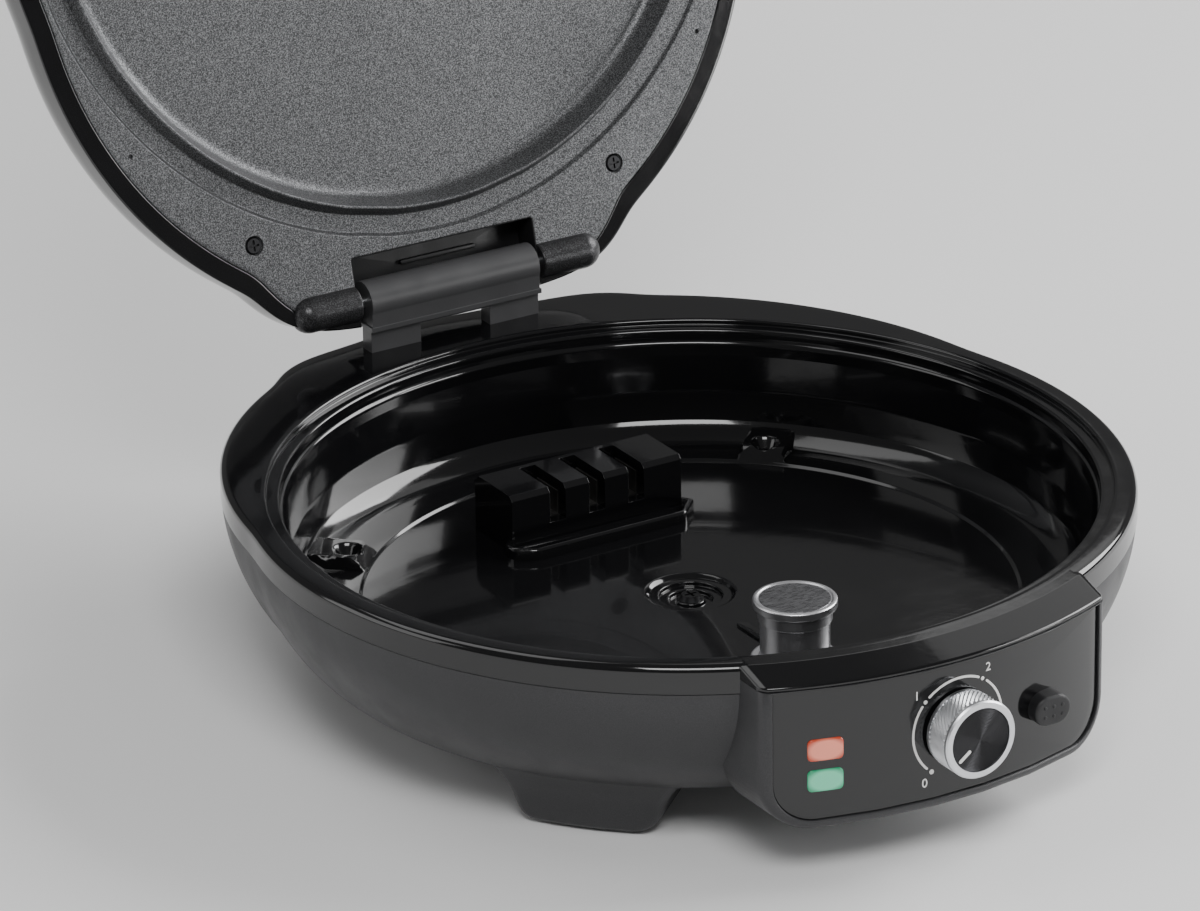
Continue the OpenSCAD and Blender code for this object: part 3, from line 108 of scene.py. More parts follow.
def piece(name, body, patches, finish=None, sharp=38.0):
    """One object from closed patches. A patch is (grid, close_rows, close_cols), in millimetres."""
    points, faces, start = [], [], 0
    for grid, close_rows, close_cols in patches:
        rows, cols = grid.shape[:2]
        faces.append(grid_faces(rows, cols, close_rows, close_cols) + start)
        points.append(grid.reshape(-1, 3))
        start += rows * cols
    mesh = bpy.data.meshes.new(name)
    mesh.from_pydata(np.concatenate(points) * MM, [], np.concatenate(faces).tolist())
    tidy_mesh(mesh, sharp)
    return place(name, mesh, body, finish)


def tidy_mesh(mesh, sharp=38.0):
    """Merges doubled points, drops what fell together, turns all faces outwards, shades softly."""
    work = bmesh.new()
    work.from_mesh(mesh)
    bmesh.ops.remove_doubles(work, verts=work.verts, dist=2e-6)
    bmesh.ops.dissolve_degenerate(work, edges=work.edges, dist=1e-6)
    bmesh.ops.recalc_face_normals(work, faces=work.faces)
    work.to_mesh(mesh)
    work.free()
    mesh.set_sharp_from_angle(angle=math.radians(sharp))
    mesh.polygons.foreach_set("use_smooth", np.ones(len(mesh.polygons), bool))


def place(name, mesh, body, finish):
    """Puts a finished mesh in the scene, gives it its finish and lets it ride on a body."""
    obj = bpy.data.objects.new(name, mesh)
    bpy.context.scene.collection.objects.link(obj)
    mesh.materials.clear()
    if finish:
        mesh.materials.append(finish)
    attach(obj, body)
    print(f"{name}: {len(mesh.polygons)} faces")
    return obj


# %% [markdown]
# ## Drawing a section with soft corners
# A turned or moulded piece is known by its section. A section is written down as a few corners,
# each with the radius that rounds it. The rounding here adds the arc's points and one more point a
# little way along each straight side, so the shading of a flat side stays flat up to the curve.
# %% Rounded sections
def rounded(corners, steps=5, closed=False, support=0.25):
    """Walks along corners (x, y, radius) and swaps each for an arc that touches both sides."""
    corners = [tuple(c) + (0.0,) * (3 - len(c)) for c in corners]
    out, n = [], len(corners)
    for k, (x, y, r) in enumerate(corners):
        here = np.array([x, y], float)
        if r <= 0 or (not closed and k in (0, n - 1)):
            out.append(here)
            continue
        before = np.array(corners[k - 1][:2], float) - here
        after = np.array(corners[(k + 1) % n][:2], float) - here
        la, lb = np.linalg.norm(before), np.linalg.norm(after)
        a, b = before / la, after / lb
        half = 0.5 * math.acos(float(np.clip(a @ b, -1, 1)))
        reach = min(r / math.tan(half), 0.49 * la, 0.49 * lb)
        r = reach * math.tan(half)
        centre = here + (a + b) / np.linalg.norm(a + b) * r / math.sin(half)
        p, q = here + a * reach - centre, here + b * reach - centre
        turn = math.atan2(p[0] * q[1] - p[1] * q[0], float(p @ q))
        t = np.linspace(0, 1, steps + 1)[:, None] * turn
        arc = centre + p * np.cos(t) + np.array([-p[1], p[0]]) * np.sin(t)
        if support and la > 3 * reach:
            out.append(here + a * min(reach + support, 0.6 * la))
        out.extend(arc)
        if support and lb > 3 * reach:
            out.append(here + b * min(reach + support, 0.6 * lb))
    return np.array(out)


def turned(section, centre=(0, 0), steps=96, to_place=None):
    """Turns a section of (radius, height) points about an upright axis, pole to pole; to_place, if
    given, puts the (x, y, z) arrays where they belong."""
    a = np.linspace(0, 2 * np.pi, steps, endpoint=False)[:, None]
    r, z = section[:, 0][None, :], section[:, 1][None, :]
    points = centre[0] + r * np.cos(a), centre[1] + r * np.sin(a), z + 0 * a
    return np.stack(to_place(*points) if to_place else points, -1), True, False


# %% [markdown]
# ## Stacks of outlines
# A foot, a boss, a lens or a button is a pile of outlines, each drawn in a little and lifted a
# little from the last, like layers of card. Insetting a rounded outline and lifting it along a
# quarter circle makes a soft edge.
# %% Stacks of outlines
def outline(corners, inset=0.0, steps=6, fine=0):
    """Moves every side of a convex outline inwards by inset, then rounds its corners.
    Corners run counter-clockwise as (x, y, radius); fine cuts each side into so many pieces."""
    p = np.array([c[:2] for c in corners], float)
    r = np.array([c[2] if len(c) > 2 else 0.0 for c in corners], float)
    side = np.roll(p, -1, 0) - p
    side /= np.linalg.norm(side, axis=1)[:, None]
    normal = np.stack([-side[:, 1], side[:, 0]], 1)
    n0, n1 = np.roll(normal, 1, 0), normal
    shift = (n0 + n1) / (1 + (n0 * n1).sum(1))[:, None]
    q = p + shift * inset
    r = np.maximum(r - inset, 0.05)
    ring = rounded([(x, y, c) for (x, y), c in zip(q, r)], steps, closed=True, support=0)
    if not fine:
        return ring
    t = np.arange(fine)[None, :, None] / fine
    return (ring[:, None, :] * (1 - t) + np.roll(ring, -1, 0)[:, None, :] * t).reshape(-1, 2)


def at_height(ring, height):
    """A flat ring of points with the same third number for all."""
    return np.c_[ring, np.full(len(ring), height)]


def capped(rings):
    """A grid from rings, closed at both ends by a point at the middle of the end's ring."""
    first, last = (np.tile(ring.mean(0), (len(ring), 1)) for ring in (rings[0], rings[-1]))
    return np.stack([first, *rings, last])


def soft_edge(radius, depth, height, steps=4):
    """(inset, lift) pairs that roll over an edge: a quarter circle of radius under height."""
    t = np.linspace(0, np.pi / 2, steps + 1)
    return [(depth + radius * (1 - math.cos(a)), height - radius * (1 - math.sin(a))) for a in t]


def stack(corners, layers, to_place, steps=6, fine=0):
    """Outlines at (inset, lift), closed at both ends; to_place puts (x, y, lift) arrays where they
    belong."""
    grid = capped([at_height(outline(corners, inset, steps, fine), lift) for inset, lift in layers])
    return np.stack(to_place(grid[..., 0], grid[..., 1], grid[..., 2]), -1), False, True


def rectangle(w, h, radius, x=0.0, y=0.0):
    """Corners of a rectangle of half sizes w and h about (x, y)."""
    return [(x + i * w, y + j * h, radius) for i, j in ((1, -1), (1, 1), (-1, 1), (-1, -1))]


# %% [markdown]
# ## The plan of the base and the lid
# From above, base and lid share one outline: a round front, a rear that is a little wider, and a
# block on the rear for the hinge. The distance from the centre to that outline is a function of
# the direction, so one formula serves the rim, the skirt, the lid's dome and the cooking plate.
# %% The plan
def blend_max(a, b, power):
    """The larger of two lengths, with a soft change from one to the other."""
    top = np.maximum(a, b)
    return top * ((a / top) ** power + (b / top) ** power) ** (1 / power)


def plan_radius(angle, grow=0.0, back=BASE_BACK):
    """Distance to the plan's outline, moved out by grow: the front circle, the shifted rear
    circle, and the hinge block with its straight tapering sides and flat back."""
    s, c = np.sin(angle), np.abs(np.cos(angle))
    front = RIM_R + grow + 0 * s
    rear = REAR_SHIFT * np.maximum(s, 0) + np.sqrt((REAR_R + grow) ** 2 - (REAR_SHIFT * c) ** 2)
    rear = np.where(s > 0, rear, 1.0)
    side = (EAR_W + grow + EAR_TAPER * EAR_Y) / (c + EAR_TAPER * np.maximum(s, 0) + 1e-9)
    flat = back / np.maximum(s, 0.05)
    block = (side ** -float(EAR_POWER) + flat ** -float(EAR_POWER)) ** (-1.0 / EAR_POWER)
    block = np.where(s > 0.3, block, 1.0)
    return blend_max(blend_max(front, rear, 260.0), block, 160.0)


# finer where the plan turns sharply, beside the hinge block
directions = np.radians(np.concatenate([np.arange(-220, 34, 1.5), np.arange(34, 80, 0.625),
                                        np.arange(80, 100, 1.0), np.arange(100, 140, 0.625)]))


def around_plan(section, back=BASE_BACK):
    """Carries a section round the plan. A section point is (value, height, kind): kind 0 gives a
    radius of its own; otherwise value is an inset from the outline, and the flat back is drawn in
    by that inset times kind."""
    value, z, kind = section[:, 0][None, :], section[:, 1][None, :], section[:, 2][None, :]
    a = directions[:, None]
    inset = np.where(kind > 0, value, 0.0)
    r = np.where(kind > 0, plan_radius(a, -inset, back - inset * kind), value)
    return np.stack([r * np.cos(a), r * np.sin(a), z + 0 * a], -1)


def joined(*parts):
    """Strings section parts together; each part is (points, kind)."""
    return np.concatenate([at_height(np.asarray(p, float)[:, :2], k) for p, k in parts])


print("directions round the plan:", len(directions))

# %% [markdown]
# ## Finishes with one place to set them up
# Every finish is the Principled shader with its constants typed into its own sockets, plus noise on
# Object coordinates for what the eye reads as real: a slightly uneven gloss, grain in moulded
# plastic, speckle in a baked coating.
# %% Finish helpers
def finish(name, colour, roughness, **sockets):
    """A new material; sockets are set straight on the shader."""
    material = bpy.data.materials.new(name)
    material.use_nodes = True
    shader = material.node_tree.nodes["Principled BSDF"]
    shader.inputs["Base Color"].default_value = (*colour, 1)
    shader.inputs["Roughness"].default_value = roughness
    for socket, value in sockets.items():
        shader.inputs[socket.replace("_", " ")].default_value = value
    material.diffuse_color = (*colour, 1)
    return material


def add(material, kind, links=(), **settings):
    """Adds a node; links are (own input, other node, its output), settings are inputs or options."""
    tree = material.node_tree
    node = tree.nodes.new(kind)
    for key, value in settings.items():
        label = key.replace("_", " ")
        if label in node.inputs:
            node.inputs[label].default_value = value
        else:
            setattr(node, key, value)
    for own, other, output in links:
        tree.links.new(other.outputs[output], node.inputs[own])
    return node


def into_shader(material, socket, node, output):
    """Links a node's output to a socket of the material's shader."""
    shader = material.node_tree.nodes["Principled BSDF"]
    material.node_tree.links.new(node.outputs[output], shader.inputs[socket])


def object_noise(material, scale, detail):
    """Noise over the object's own coordinates, in so many bumps a metre."""
    where = add(material, "ShaderNodeTexCoord")
    return add(material, "ShaderNodeTexNoise", [("Vector", where, "Object")], Scale=scale, Detail=detail)


def colour_ramp(material, source, output, low, dark, high, light):
    """A ramp from one colour at low to another at high."""
    ramp = add(material, "ShaderNodeValToRGB", [("Fac", source, output)])
    for stop, place_, colour in zip(ramp.color_ramp.elements, (low, high), (dark, light)):
        stop.position, stop.color = place_, (*colour, 1)
    return ramp


def grain(material, scale, depth, detail=2.0):
    """Bump of so many bumps a metre, depth metres high."""
    noise = object_noise(material, scale, detail)
    bump = add(material, "ShaderNodeBump", [("Height", noise, "Fac")], Strength=1.0, Distance=depth)
    into_shader(material, "Normal", bump, "Normal")


def uneven(material, scale, low, high):
    """Lets the roughness drift between low and high over the surface."""
    noise = object_noise(material, scale, 3.0)
    span = add(material, "ShaderNodeMapRange", [("Value", noise, "Fac")])
    span.inputs["From Min"].default_value, span.inputs["From Max"].default_value = 0.3, 0.7
    span.inputs["To Min"].default_value, span.inputs["To Max"].default_value = low, high
    into_shader(material, "Roughness", span, "Result")


def speckled(material, scale, dark, light, low=0.35, high=0.65, detail=2.0):
    """Two colours mixed by fine noise."""
    noise = object_noise(material, scale, detail)
    into_shader(material, "Base Color", colour_ramp(material, noise, "Fac", low, dark, high, light), "Color")


# %% [markdown]
# ## The gloss-black and grey plastics
# The rim, bowl, panel and lid shell are one polished black plastic. It is nearly a mirror, so its
# colour is almost nothing and its look is in the gloss, which drifts a little as on any moulding.
# The skirt is a dark grey plastic with a fine spark-eroded texture that scatters the light.
# %% Plastics
gloss_black = finish("gloss_black", (0.004, 0.004, 0.0045), 0.09, Coat_Weight=0.3, Coat_Roughness=0.03)
uneven(gloss_black, 35, 0.07, 0.13)
grain(gloss_black, 110, 0.00004)
satin_grey = finish("satin_grey", (0.028, 0.028, 0.030), 0.42)
speckled(satin_grey, 2600, (0.022, 0.022, 0.024), (0.036, 0.036, 0.038))
grain(satin_grey, 1800, 0.00006, 3.0)
uneven(satin_grey, 60, 0.36, 0.48)
matt_black = finish("matt_black", (0.010, 0.010, 0.011), 0.5)
grain(matt_black, 1500, 0.00005)
uneven(matt_black, 90, 0.42, 0.58)
satin_black = finish("satin_black", (0.008, 0.008, 0.009), 0.28)
grain(satin_black, 500, 0.00003)
uneven(satin_black, 70, 0.22, 0.34)
rubber = finish("rubber", (0.012, 0.012, 0.012), 0.8)
grain(rubber, 1200, 0.00008)
print("plastics:", [m.name for m in (gloss_black, satin_grey, matt_black, satin_black, rubber)])

# %% [markdown]
# ## The baked coating and the metals
# The cooking plate has a grey non-stick coating, sprayed and baked, with a fine pale speckle and a
# dull sheen. Its pin bosses are the same coating in a darker copy, which paints the shade they stand
# in, and the hinge's barrel is smooth dark grey. The sensor is satin chrome, the knob's sleeve a
# silver one tone duller, and the hidden hardware is plain steel and tinplate.
# %% Coating and metals
nonstick = finish("nonstick", (0.12, 0.12, 0.125), 0.46, Metallic=0.7)
speckled(nonstick, 1900, (0.045, 0.046, 0.048), (0.22, 0.223, 0.23), 0.42, 0.66, 3.0)
# the pin bosses: the plate's coating made darker, as painted shade
boss_coat_painted_shade = finish("boss_coat_painted_shade", (0.03, 0.03, 0.032), 0.34, Metallic=0.6)
speckled(boss_coat_painted_shade, 2300, (0.022, 0.022, 0.023), (0.11, 0.11, 0.115), 0.45, 0.70, 3.0)
uneven(boss_coat_painted_shade, 60, 0.28, 0.4)
hinge_grey = finish("hinge_grey", (0.05, 0.05, 0.052), 0.34)
grain(hinge_grey, 900, 0.00003)
uneven(hinge_grey, 70, 0.28, 0.40)
uneven(nonstick, 25, 0.42, 0.55)
grain(nonstick, 1600, 0.00004, 3.0)
chrome = finish("chrome", (0.80, 0.80, 0.82), 0.33, Metallic=1.0)
uneven(chrome, 120, 0.28, 0.38)
silver = finish("silver", (0.74, 0.75, 0.77), 0.36, Metallic=1.0)
uneven(silver, 300, 0.31, 0.41)
steel = finish("steel", (0.55, 0.56, 0.58), 0.32, Metallic=1.0)
uneven(steel, 200, 0.25, 0.4)
dark_steel = finish("dark_steel", (0.035, 0.035, 0.037), 0.4, Metallic=0.9)
uneven(dark_steel, 200, 0.3, 0.45)
tin = finish("tin", (0.62, 0.63, 0.64), 0.35, Metallic=1.0)
uneven(tin, 60, 0.28, 0.45)
print("coatings and metals:", [m.name for m in (nonstick, boss_coat_painted_shade, hinge_grey, chrome, silver, steel,
                                                dark_steel, tin)])

# %% [markdown]
# ## The bowl, its rim and the gloss band
# On the real base one black moulding makes the band, the flat rim, the ledge that the pan hangs on,
# the bowl's wall, the floor with a shallow ring step, and the centre well. Its section is drawn
# from the underside's centre, out and over the rim, and back to the middle of the well, and is
# carried round the plan. Points near the axis keep their own radius and points near the edge follow
# the plan.
# %% The bowl
def bowl_section():
    """Underside, band and rim, ledge, wall, floor and well, pole to pole."""
    under = rounded([(0, 30.2), (20, 30.2, 1), (20, 35, 1), (139, 35, 20), (164, 42, 18), (164, 80, 2),
                     (168.5, 82.4, 1), (174, 82.4)], 3)
    band = rounded([(3.0, 82.4), (3.0, SEAM_Z, 0.4), (0, SEAM_Z, 0.6), (0, BASE_H, 5.0), (6.5, BASE_H)], 8)
    top = rounded([(173.4, BASE_H), (171.0, BASE_H, 1.1), (171.0, 85.5, 0.5), (165.5, 85.5, 1.3),
                   (165.5, 82.0, 1.5), (161.0, 59, 12), (161.0, FLOOR_Z, 22), (144.6, FLOOR_Z + 0.9, 0.4),
                   (134.6, FLOOR_Z + 1.0, 0.5), (133.4, FLOOR_Z, 0.5), (18.4, FLOOR_Z, 1.8),
                   (16.8, 36.4, 0.3), (13.2, 36.4, 0.4), (12.8, 34.8, 0.3), (9.2, 34.8, 0.4),
                   (8.8, 33.2, 0.3), (6.2, 33.2, 0.3), (5.8, 34.8, 0.5), (0, 34.9)], 5)
    return joined((under, 0), (band, 1), (top, 0))


bowl_patches = [(around_plan(bowl_section()), True, False)]
print("points in the bowl's section:", len(bowl_section()))

# %% [markdown]
# ## Bosses on the bowl's floor
# Four square bosses carry the screws that hold the bowl. The inner side of each is a ramp, the
# outer side runs into the wall, and a funnel leads to the screw. The boss is a skin over a grid of
# circles that turn into its square outline, and its height is the smallest of several planes and a
# cone, mixed softly so that every edge comes out rounded.
# %% Bosses
def soft_min(k, *heights):
    """The lowest of several heights, with edges rounded over about k millimetres."""
    h = np.stack(np.broadcast_arrays(*heights))
    low = h.min(0)
    return low - k * np.log(np.exp(-(h - low) / k).sum(0))


def boss(direction, half=10.5, top=6.0, out_at=144, sunk=1.0):
    """Height over (u outwards, v across): a ramp inside, steep sides, flat top, and a funnel. The
    boss stands out_at from the middle, and its skin ends a little below the floor."""
    foot_half = half + 0.8
    corners = [(16.5, -foot_half, 1.0), (16.5, foot_half, 1.0), (-foot_half, foot_half, 2.2),
               (-foot_half, -foot_half, 2.2)]
    square = outline(corners, 0, 5, 5)
    square = np.roll(square, -int(np.argmin(np.abs(np.arctan2(square[:, 1], square[:, 0])))), 0)
    phi = np.arctan2(square[:, 1], square[:, 0])
    circle = np.stack([np.cos(phi), np.sin(phi)], 1)
    rings = [circle * r for r in (0, 1.5, 3.0, 3.4, 4.5, 5.6, 6.2, 6.6, 7.0)]
    for t in (0.12, 0.3, 0.48, 0.64, 0.76, 0.85, 0.91, 0.95, 0.98, 1.0):
        rings.append(circle * 7.2 * (1 - t) + square * t)
    uv = np.stack(rings)
    u, v = uv[..., 0], uv[..., 1]
    r = np.hypot(u, v)
    body = soft_min(0.45, top + 0 * u, u + half, (half - np.abs(v)) * 5)
    cone = np.maximum((r - 3.2) * 1.9, -0.6)
    z = FLOOR_Z + np.where(r < 9, soft_min(0.18, body, cone), body)
    z[-1] = FLOOR_Z - sunk
    c, s = math.cos(direction), math.sin(direction)
    x, y = (out_at + u) * c - v * s, (out_at + u) * s + v * c
    grid = np.stack([x, y, z], -1)
    base = np.tile([out_at * c, out_at * s, FLOOR_Z - sunk], (1, grid.shape[1], 1))
    return np.concatenate([grid, base]), False, True


for bearing in (45, 135, 225, 315):
    bowl_patches.append(boss(math.radians(bearing)))
print("closed skins in the bowl so far:", len(bowl_patches))

# %% [markdown]
# ## The tray and the small rib
# In front of the pan's socket block the floor carries a shallow tray with a raised bead for an edge,
# cut to a point at its right. It is a stack: outline up, over the bead, down into the tray.
# %% Tray and rib
def flat_on(z0):
    """Leaves x and y alone and lifts by z0."""
    return lambda x, y, z: (x, y, z + z0)


tray = [(36, 60, 3), (46, 70, 1.5), (41.5, 76.5, 2), (-42, 76.5, 5), (-46.5, 68, 6), (-36, 60, 7)]
bead = soft_edge(1.5, 0, 5, 6)
inside = [(3 - inset, lift) for inset, lift in bead[::-1][1:]]
tray_layers = [(0, -1), *bead, *inside, (3.1, 2.6), (3.6, 2.3)]
bowl_patches.append(stack(tray, tray_layers, flat_on(FLOOR_Z), 5, 6))
rib = rectangle(2.5, 11, 1.5, 0, -49)
rib_layers = [(0, -1), (0, 0.7), *soft_edge(0.5, 0, 1.2)]
bowl_patches.append(stack(rib, rib_layers, flat_on(FLOOR_Z), 4, 3))
print("outlines in the tray's stack:", len(tray_layers))

# %% [markdown]
# ## The brow over the panel
# Above the control panel the rim reaches forward as a brow. Its section is flat and level with the
# rim out to the rim's own edge, and falls from there in one slope to a thin front. It is carried
# along the panel's arc: at each sideways place x the section's point at radius R lies at
# y = -sqrt(R^2 - x^2), so the brow's front follows the panel exactly. Over the last few millimetres
# at each end the section shrinks in a quarter circle, and a last point closes the skin.
# %% Brow
def on_arc(x, radius):
    """The y of a point at sideways place x on the panel's round front."""
    return -np.sqrt(np.maximum(radius ** 2 - x ** 2, 1.0))


def brow():
    """Flat top, one slope and a thin front edge, as wide as the panel box."""
    section = rounded([(175.2, 82.05), (193.6, 82.05, 0.15), (194.1, 82.5, 0.2), (193.9, 83.7, 1.0),
                       (180.4, 88.01, 1.6), (175.2, 88.01)], 6, closed=True)
    turn, tip, straight = np.linspace(0, np.pi / 2, 9), 3.2, 78
    left = -BOX_W + tip * (1 - np.cos(turn))
    middle_part = np.linspace(4 - BOX_W, BOX_W - 4, straight)
    x = np.concatenate([[-BOX_W], left, middle_part, -left[::-1], [BOX_W]])
    ends = np.concatenate([[0.0], 0.78 + 0.22 * np.sin(turn)])
    size = np.concatenate([ends, np.ones(straight), ends[::-1]])
    fixed = np.array([178.0, 82.05])
    p = fixed + (section[None, :, :] - fixed) * size[:, None, None]
    xx = np.repeat(x[:, None], p.shape[1], 1)
    return np.stack([xx, on_arc(xx, p[..., 0]), p[..., 1]], -1), False, True


bowl_patches.append(brow())
bowl = piece("bowl_and_rim", "base", bowl_patches, gloss_black)
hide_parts("upper_housing")

# %% [markdown]
# ## The skirt, its feet and the panel box
# The grey lower moulding curves in under the gloss band like a dish: its section is a quarter of a
# superellipse, a little flatter than an ellipse. Its skin has an inner side too, so it is a real
# shell.
# %% The skirt
def quarter(inset, height, power, steps=22):
    """Quarter of a superellipse: (inset, height) from (0, height) down to (inset, 0)."""
    t = np.linspace(0, np.pi / 2, steps)
    c, s = np.maximum(np.cos(t), 0) ** (2 / power), np.sin(t) ** (2 / power)
    return np.stack([inset * (1 - c), height * (1 - s)], 1)


def skirt_section():
    """Inner side up from the floor's centre, over the seam, down the outer side, to the underside."""
    height, wall, set_back, gap = SEAM_Z - UNDER_Z, 3.2, 0.35, 0.15
    outer = quarter(38.0, height, 1.73)
    inner = outer[::-1] + wall
    inner = inner[inner[:, 1] < height - 1.0]
    lip = rounded([(wall, SEAM_Z - 0.6), (wall, SEAM_Z - gap, 0.2), (set_back, SEAM_Z - gap, 0.3)], 4)
    out = outer[1:] + [set_back, 0]
    return joined(([(0, UNDER_Z + wall), (60, UNDER_Z + wall)], 0), (inner + [0, UNDER_Z], 1), (lip, 1),
                  (out + [0, UNDER_Z], 1), ([(100, UNDER_Z), (50, UNDER_Z), (0, UNDER_Z)], 0))


skirt_patches = [(around_plan(skirt_section()), True, False)]
print("points in the skirt's section:", len(skirt_section()))

# %% [markdown]
# ## Feet
# Each foot is a wedge that flares up into the skirt, with round lower corners. It is a pile of
# rounded rectangles, each as wide and as deep as the foot is at that height. The front feet are bent
# to the base's arc and the rear ones are straight.
# %% Feet
SOLE_Z, FOOT_H, FOOT_HALF, FOOT_FLARE, FOOT_ROUND = 1.2, 28, 29, 15, 7
FRONT_FOOT_R, FRONT_FOOT_TURN, REAR_FOOT_X, REAR_FOOT_Y = 149, 48.5, 62, 165


def foot(direction, arc_r, flat):
    """Rounded rectangles from the sole up, wider at the share t of the height by FOOT_FLARE t^2."""
    z = np.array([0, 0.4, 1.0, 2.0, 3.4, 5.0, 7.0, 10, 13, 16, 19, 22, 25, 27.5])
    t = z / FOOT_H
    rise = np.sqrt(np.maximum(FOOT_ROUND ** 2 - (FOOT_ROUND - z) ** 2, 0))
    corner = np.where(z < FOOT_ROUND, FOOT_ROUND - rise, 0)
    half = FOOT_HALF + FOOT_FLARE * t ** 2 - corner
    front = arc_r + np.interp(z, [0, 0.6, 2.0, 12.8, 21.8, 26.8, 28], [-2.0, -0.8, 0, 1.5, 4.5, 7, 7.5])
    back = arc_r - np.interp(z, [0, 12.8, 18.8, 28], [36, 39, 44, 46])
    rings = []
    for h, f, b, up in zip(half, front, back, z):
        ring = outline([(h, b, 3), (h, f, 5), (-h, f, 5), (-h, b, 3)], 0, 6, 5)
        rings.append(at_height(ring, SOLE_Z + up))
    g = capped(rings)
    x, y = g[..., 0], g[..., 1]
    y = y if flat else np.sqrt(np.maximum(y ** 2 - x ** 2, 0))
    c, s = math.cos(direction), math.sin(direction)
    return np.stack([y * c + x * s, y * s - x * c, g[..., 2]], -1), False, True


for bearing in (-90 - FRONT_FOOT_TURN, -90 + FRONT_FOOT_TURN):
    skirt_patches.append(foot(math.radians(bearing), FRONT_FOOT_R, False))


def rear_foot(side, lean_in=12):
    """The straight wedge; its outer side leans in under the skirt, by lean_in t^2, instead of out."""
    grid, a, b = foot(math.radians(90), REAR_FOOT_Y, True)
    t = (grid[..., 2] - SOLE_Z) / FOOT_H
    lean = (FOOT_HALF - lean_in * t ** 2) / (FOOT_HALF + FOOT_FLARE * t ** 2)
    lean = np.where(side * grid[..., 0] > 0, lean, 1.0)
    return grid * np.stack([lean, 1 + 0 * t, 1 + 0 * t], -1) + [side * REAR_FOOT_X, 0, 0], a, b


skirt_patches += [rear_foot(1), rear_foot(-1)]
print("the feet stand on", 2 * (FOOT_HALF - FOOT_ROUND), "mm wide soles")

# %% [markdown]
# ## The panel box
# The box behind the control panel is a frame that stands out of the skirt. Its outline is drawn on
# the panel's arc, with round lower corners, and the frame's front edge rolls softly into its sides.
# Its top side is pressed flat so that it stays under the brow. A short turned stub at the back of
# the base carries the cord's gland.
# %% Panel box
def frame_corners(w, low, top, radius):
    """A rectangle with round lower corners, standing in the XZ plane."""
    return [(w, low, radius), (w, top, 0.3), (-w, top, 0.3), (-w, low, radius)]


def panel_box():
    """Rings from the fascia's seat over the frame's edge, back along the sides, and in again."""
    edge, front, back, seat_r, corners = 3.2, 194.5, 169.5, 191.9, frame_corners(BOX_W, BOX_Z, BROW_Z, 20.0)
    layers = [(4.0, seat_r), (4.0, 193.9), (3.9, 194.2), (3.6, 194.45), (edge, front)]
    layers += [(edge * (1 - math.sin(a)), front - edge * (1 - math.cos(a)))
               for a in np.linspace(0.12, np.pi / 2, 8)]
    layers += [(0, 190.5), (0, 186), (0, 178), (0, back), (2.8, back), (2.8, 180), (3.0, seat_r)]
    rings = []
    for inset, radius in layers:
        x, z = outline(corners, inset, 14, 5).T
        under_brow = BROW_Z - 0.02 - inset * 0.1 + (z - BROW_Z + inset) * 0.1
        z = np.where(z > BROW_Z - 4.5, under_brow, z)
        rings.append(np.stack([x, on_arc(x, radius), z], 1))
    return np.stack(rings), True, True


skirt_patches.append(panel_box())
gland = rounded([(0, 178), (11, 178), (11, 197.2, 1.2), (0, 197.2)], 4)
skirt_patches.append(turned(gland, steps=48, to_place=lambda x, y, z: (x - 60, z, y + 45)))
skirt = piece("skirt_and_feet", "base", skirt_patches, satin_grey)
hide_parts("lower_housing")

# %% [markdown]
# ## The control panel
# The panel is a thin gloss sheet bent to the arc. It is one stack: its outline in scaled copies from
# the edge to the middle, all laid on the arc, with a small round at the edge that catches the light.
# %% Control panel
def shrink_stack(corners, edge, radius, middle, back):
    """Back, soft edge, then copies of the outline shrinking to the middle, laid on the arc."""
    insets = [(0, back), (0, radius - edge)]
    insets += [(edge * (1 - math.cos(a)), radius - edge * (1 - math.sin(a)))
               for a in np.linspace(0.3, np.pi / 2, 4)]
    rings = [at_height(outline(corners, inset, 10, 5), r) for inset, r in insets]
    rings.insert(0, np.tile([*middle, back], (len(rings[0]), 1)))
    centre, last = np.array(middle), rings[-1][:, :2]
    for t in np.linspace(1, 0, 15)[1:]:
        rings.append(at_height(centre + (last - centre) * t, radius))
    g = np.stack(rings)
    return np.stack([g[..., 0], on_arc(g[..., 0], g[..., 2]), g[..., 1]], -1), False, True


panel = piece("control_panel", "base", [shrink_stack(
    frame_corners(75.4, 26.6, BROW_Z - 0.1, 16), 0.4, PANEL_R, (0, 55), 192.0)], gloss_black, 30)
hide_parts("fascia")

# %% [markdown]
# ## Lamp lenses
# Two small windows of tinted plastic, an orange-red one above a green one. Each is a pillow with a
# soft edge. No lamp in the scene shines through them, so the light of the lamp behind each is a
# painted glow: the finish gives off light of its own, and its colour and glow are paler in the middle
# than at the rim. The panel is curved, so the windows are turned with it.
# %% Lenses
def lamp_place(z0):
    """Turns a flat drawing to face out of the panel at the lamps' place."""
    c, s = math.cos(math.radians(-16.8)), math.sin(math.radians(-16.8))

    def to_place(x, y, lift):
        out = -(PANEL_R + lift)
        return x * c - out * s, x * s + out * c, y + z0
    return to_place


def lens_finish(name, deep, bright, painted_glow, z0):
    """Tinted plastic with a painted glow, brighter in a soft patch at the middle of the window."""
    # painted glow: the window gives off light of its own, standing in for the lamp behind it
    material = finish(name, deep, 0.12, Coat_Weight=0.6, Coat_Roughness=0.05, Emission_Strength=painted_glow)
    middle = np.array(lamp_place(z0)(0.0, 0.0, 0.0)) * MM
    where = add(material, "ShaderNodeTexCoord")
    centred = add(material, "ShaderNodeMapping", [("Vector", where, "Object")])
    centred.vector_type = "TEXTURE"
    centred.inputs["Location"].default_value = middle
    centred.inputs["Scale"].default_value = (0.0082, 0.02, 0.0052)
    ball = add(material, "ShaderNodeTexGradient", [("Vector", centred, "Vector")], gradient_type="SPHERICAL")
    ramp = colour_ramp(material, ball, "Fac", 0.02, deep, 0.30, bright)
    into_shader(material, "Base Color", ramp, "Color")
    into_shader(material, "Emission Color", ramp, "Color")
    return material


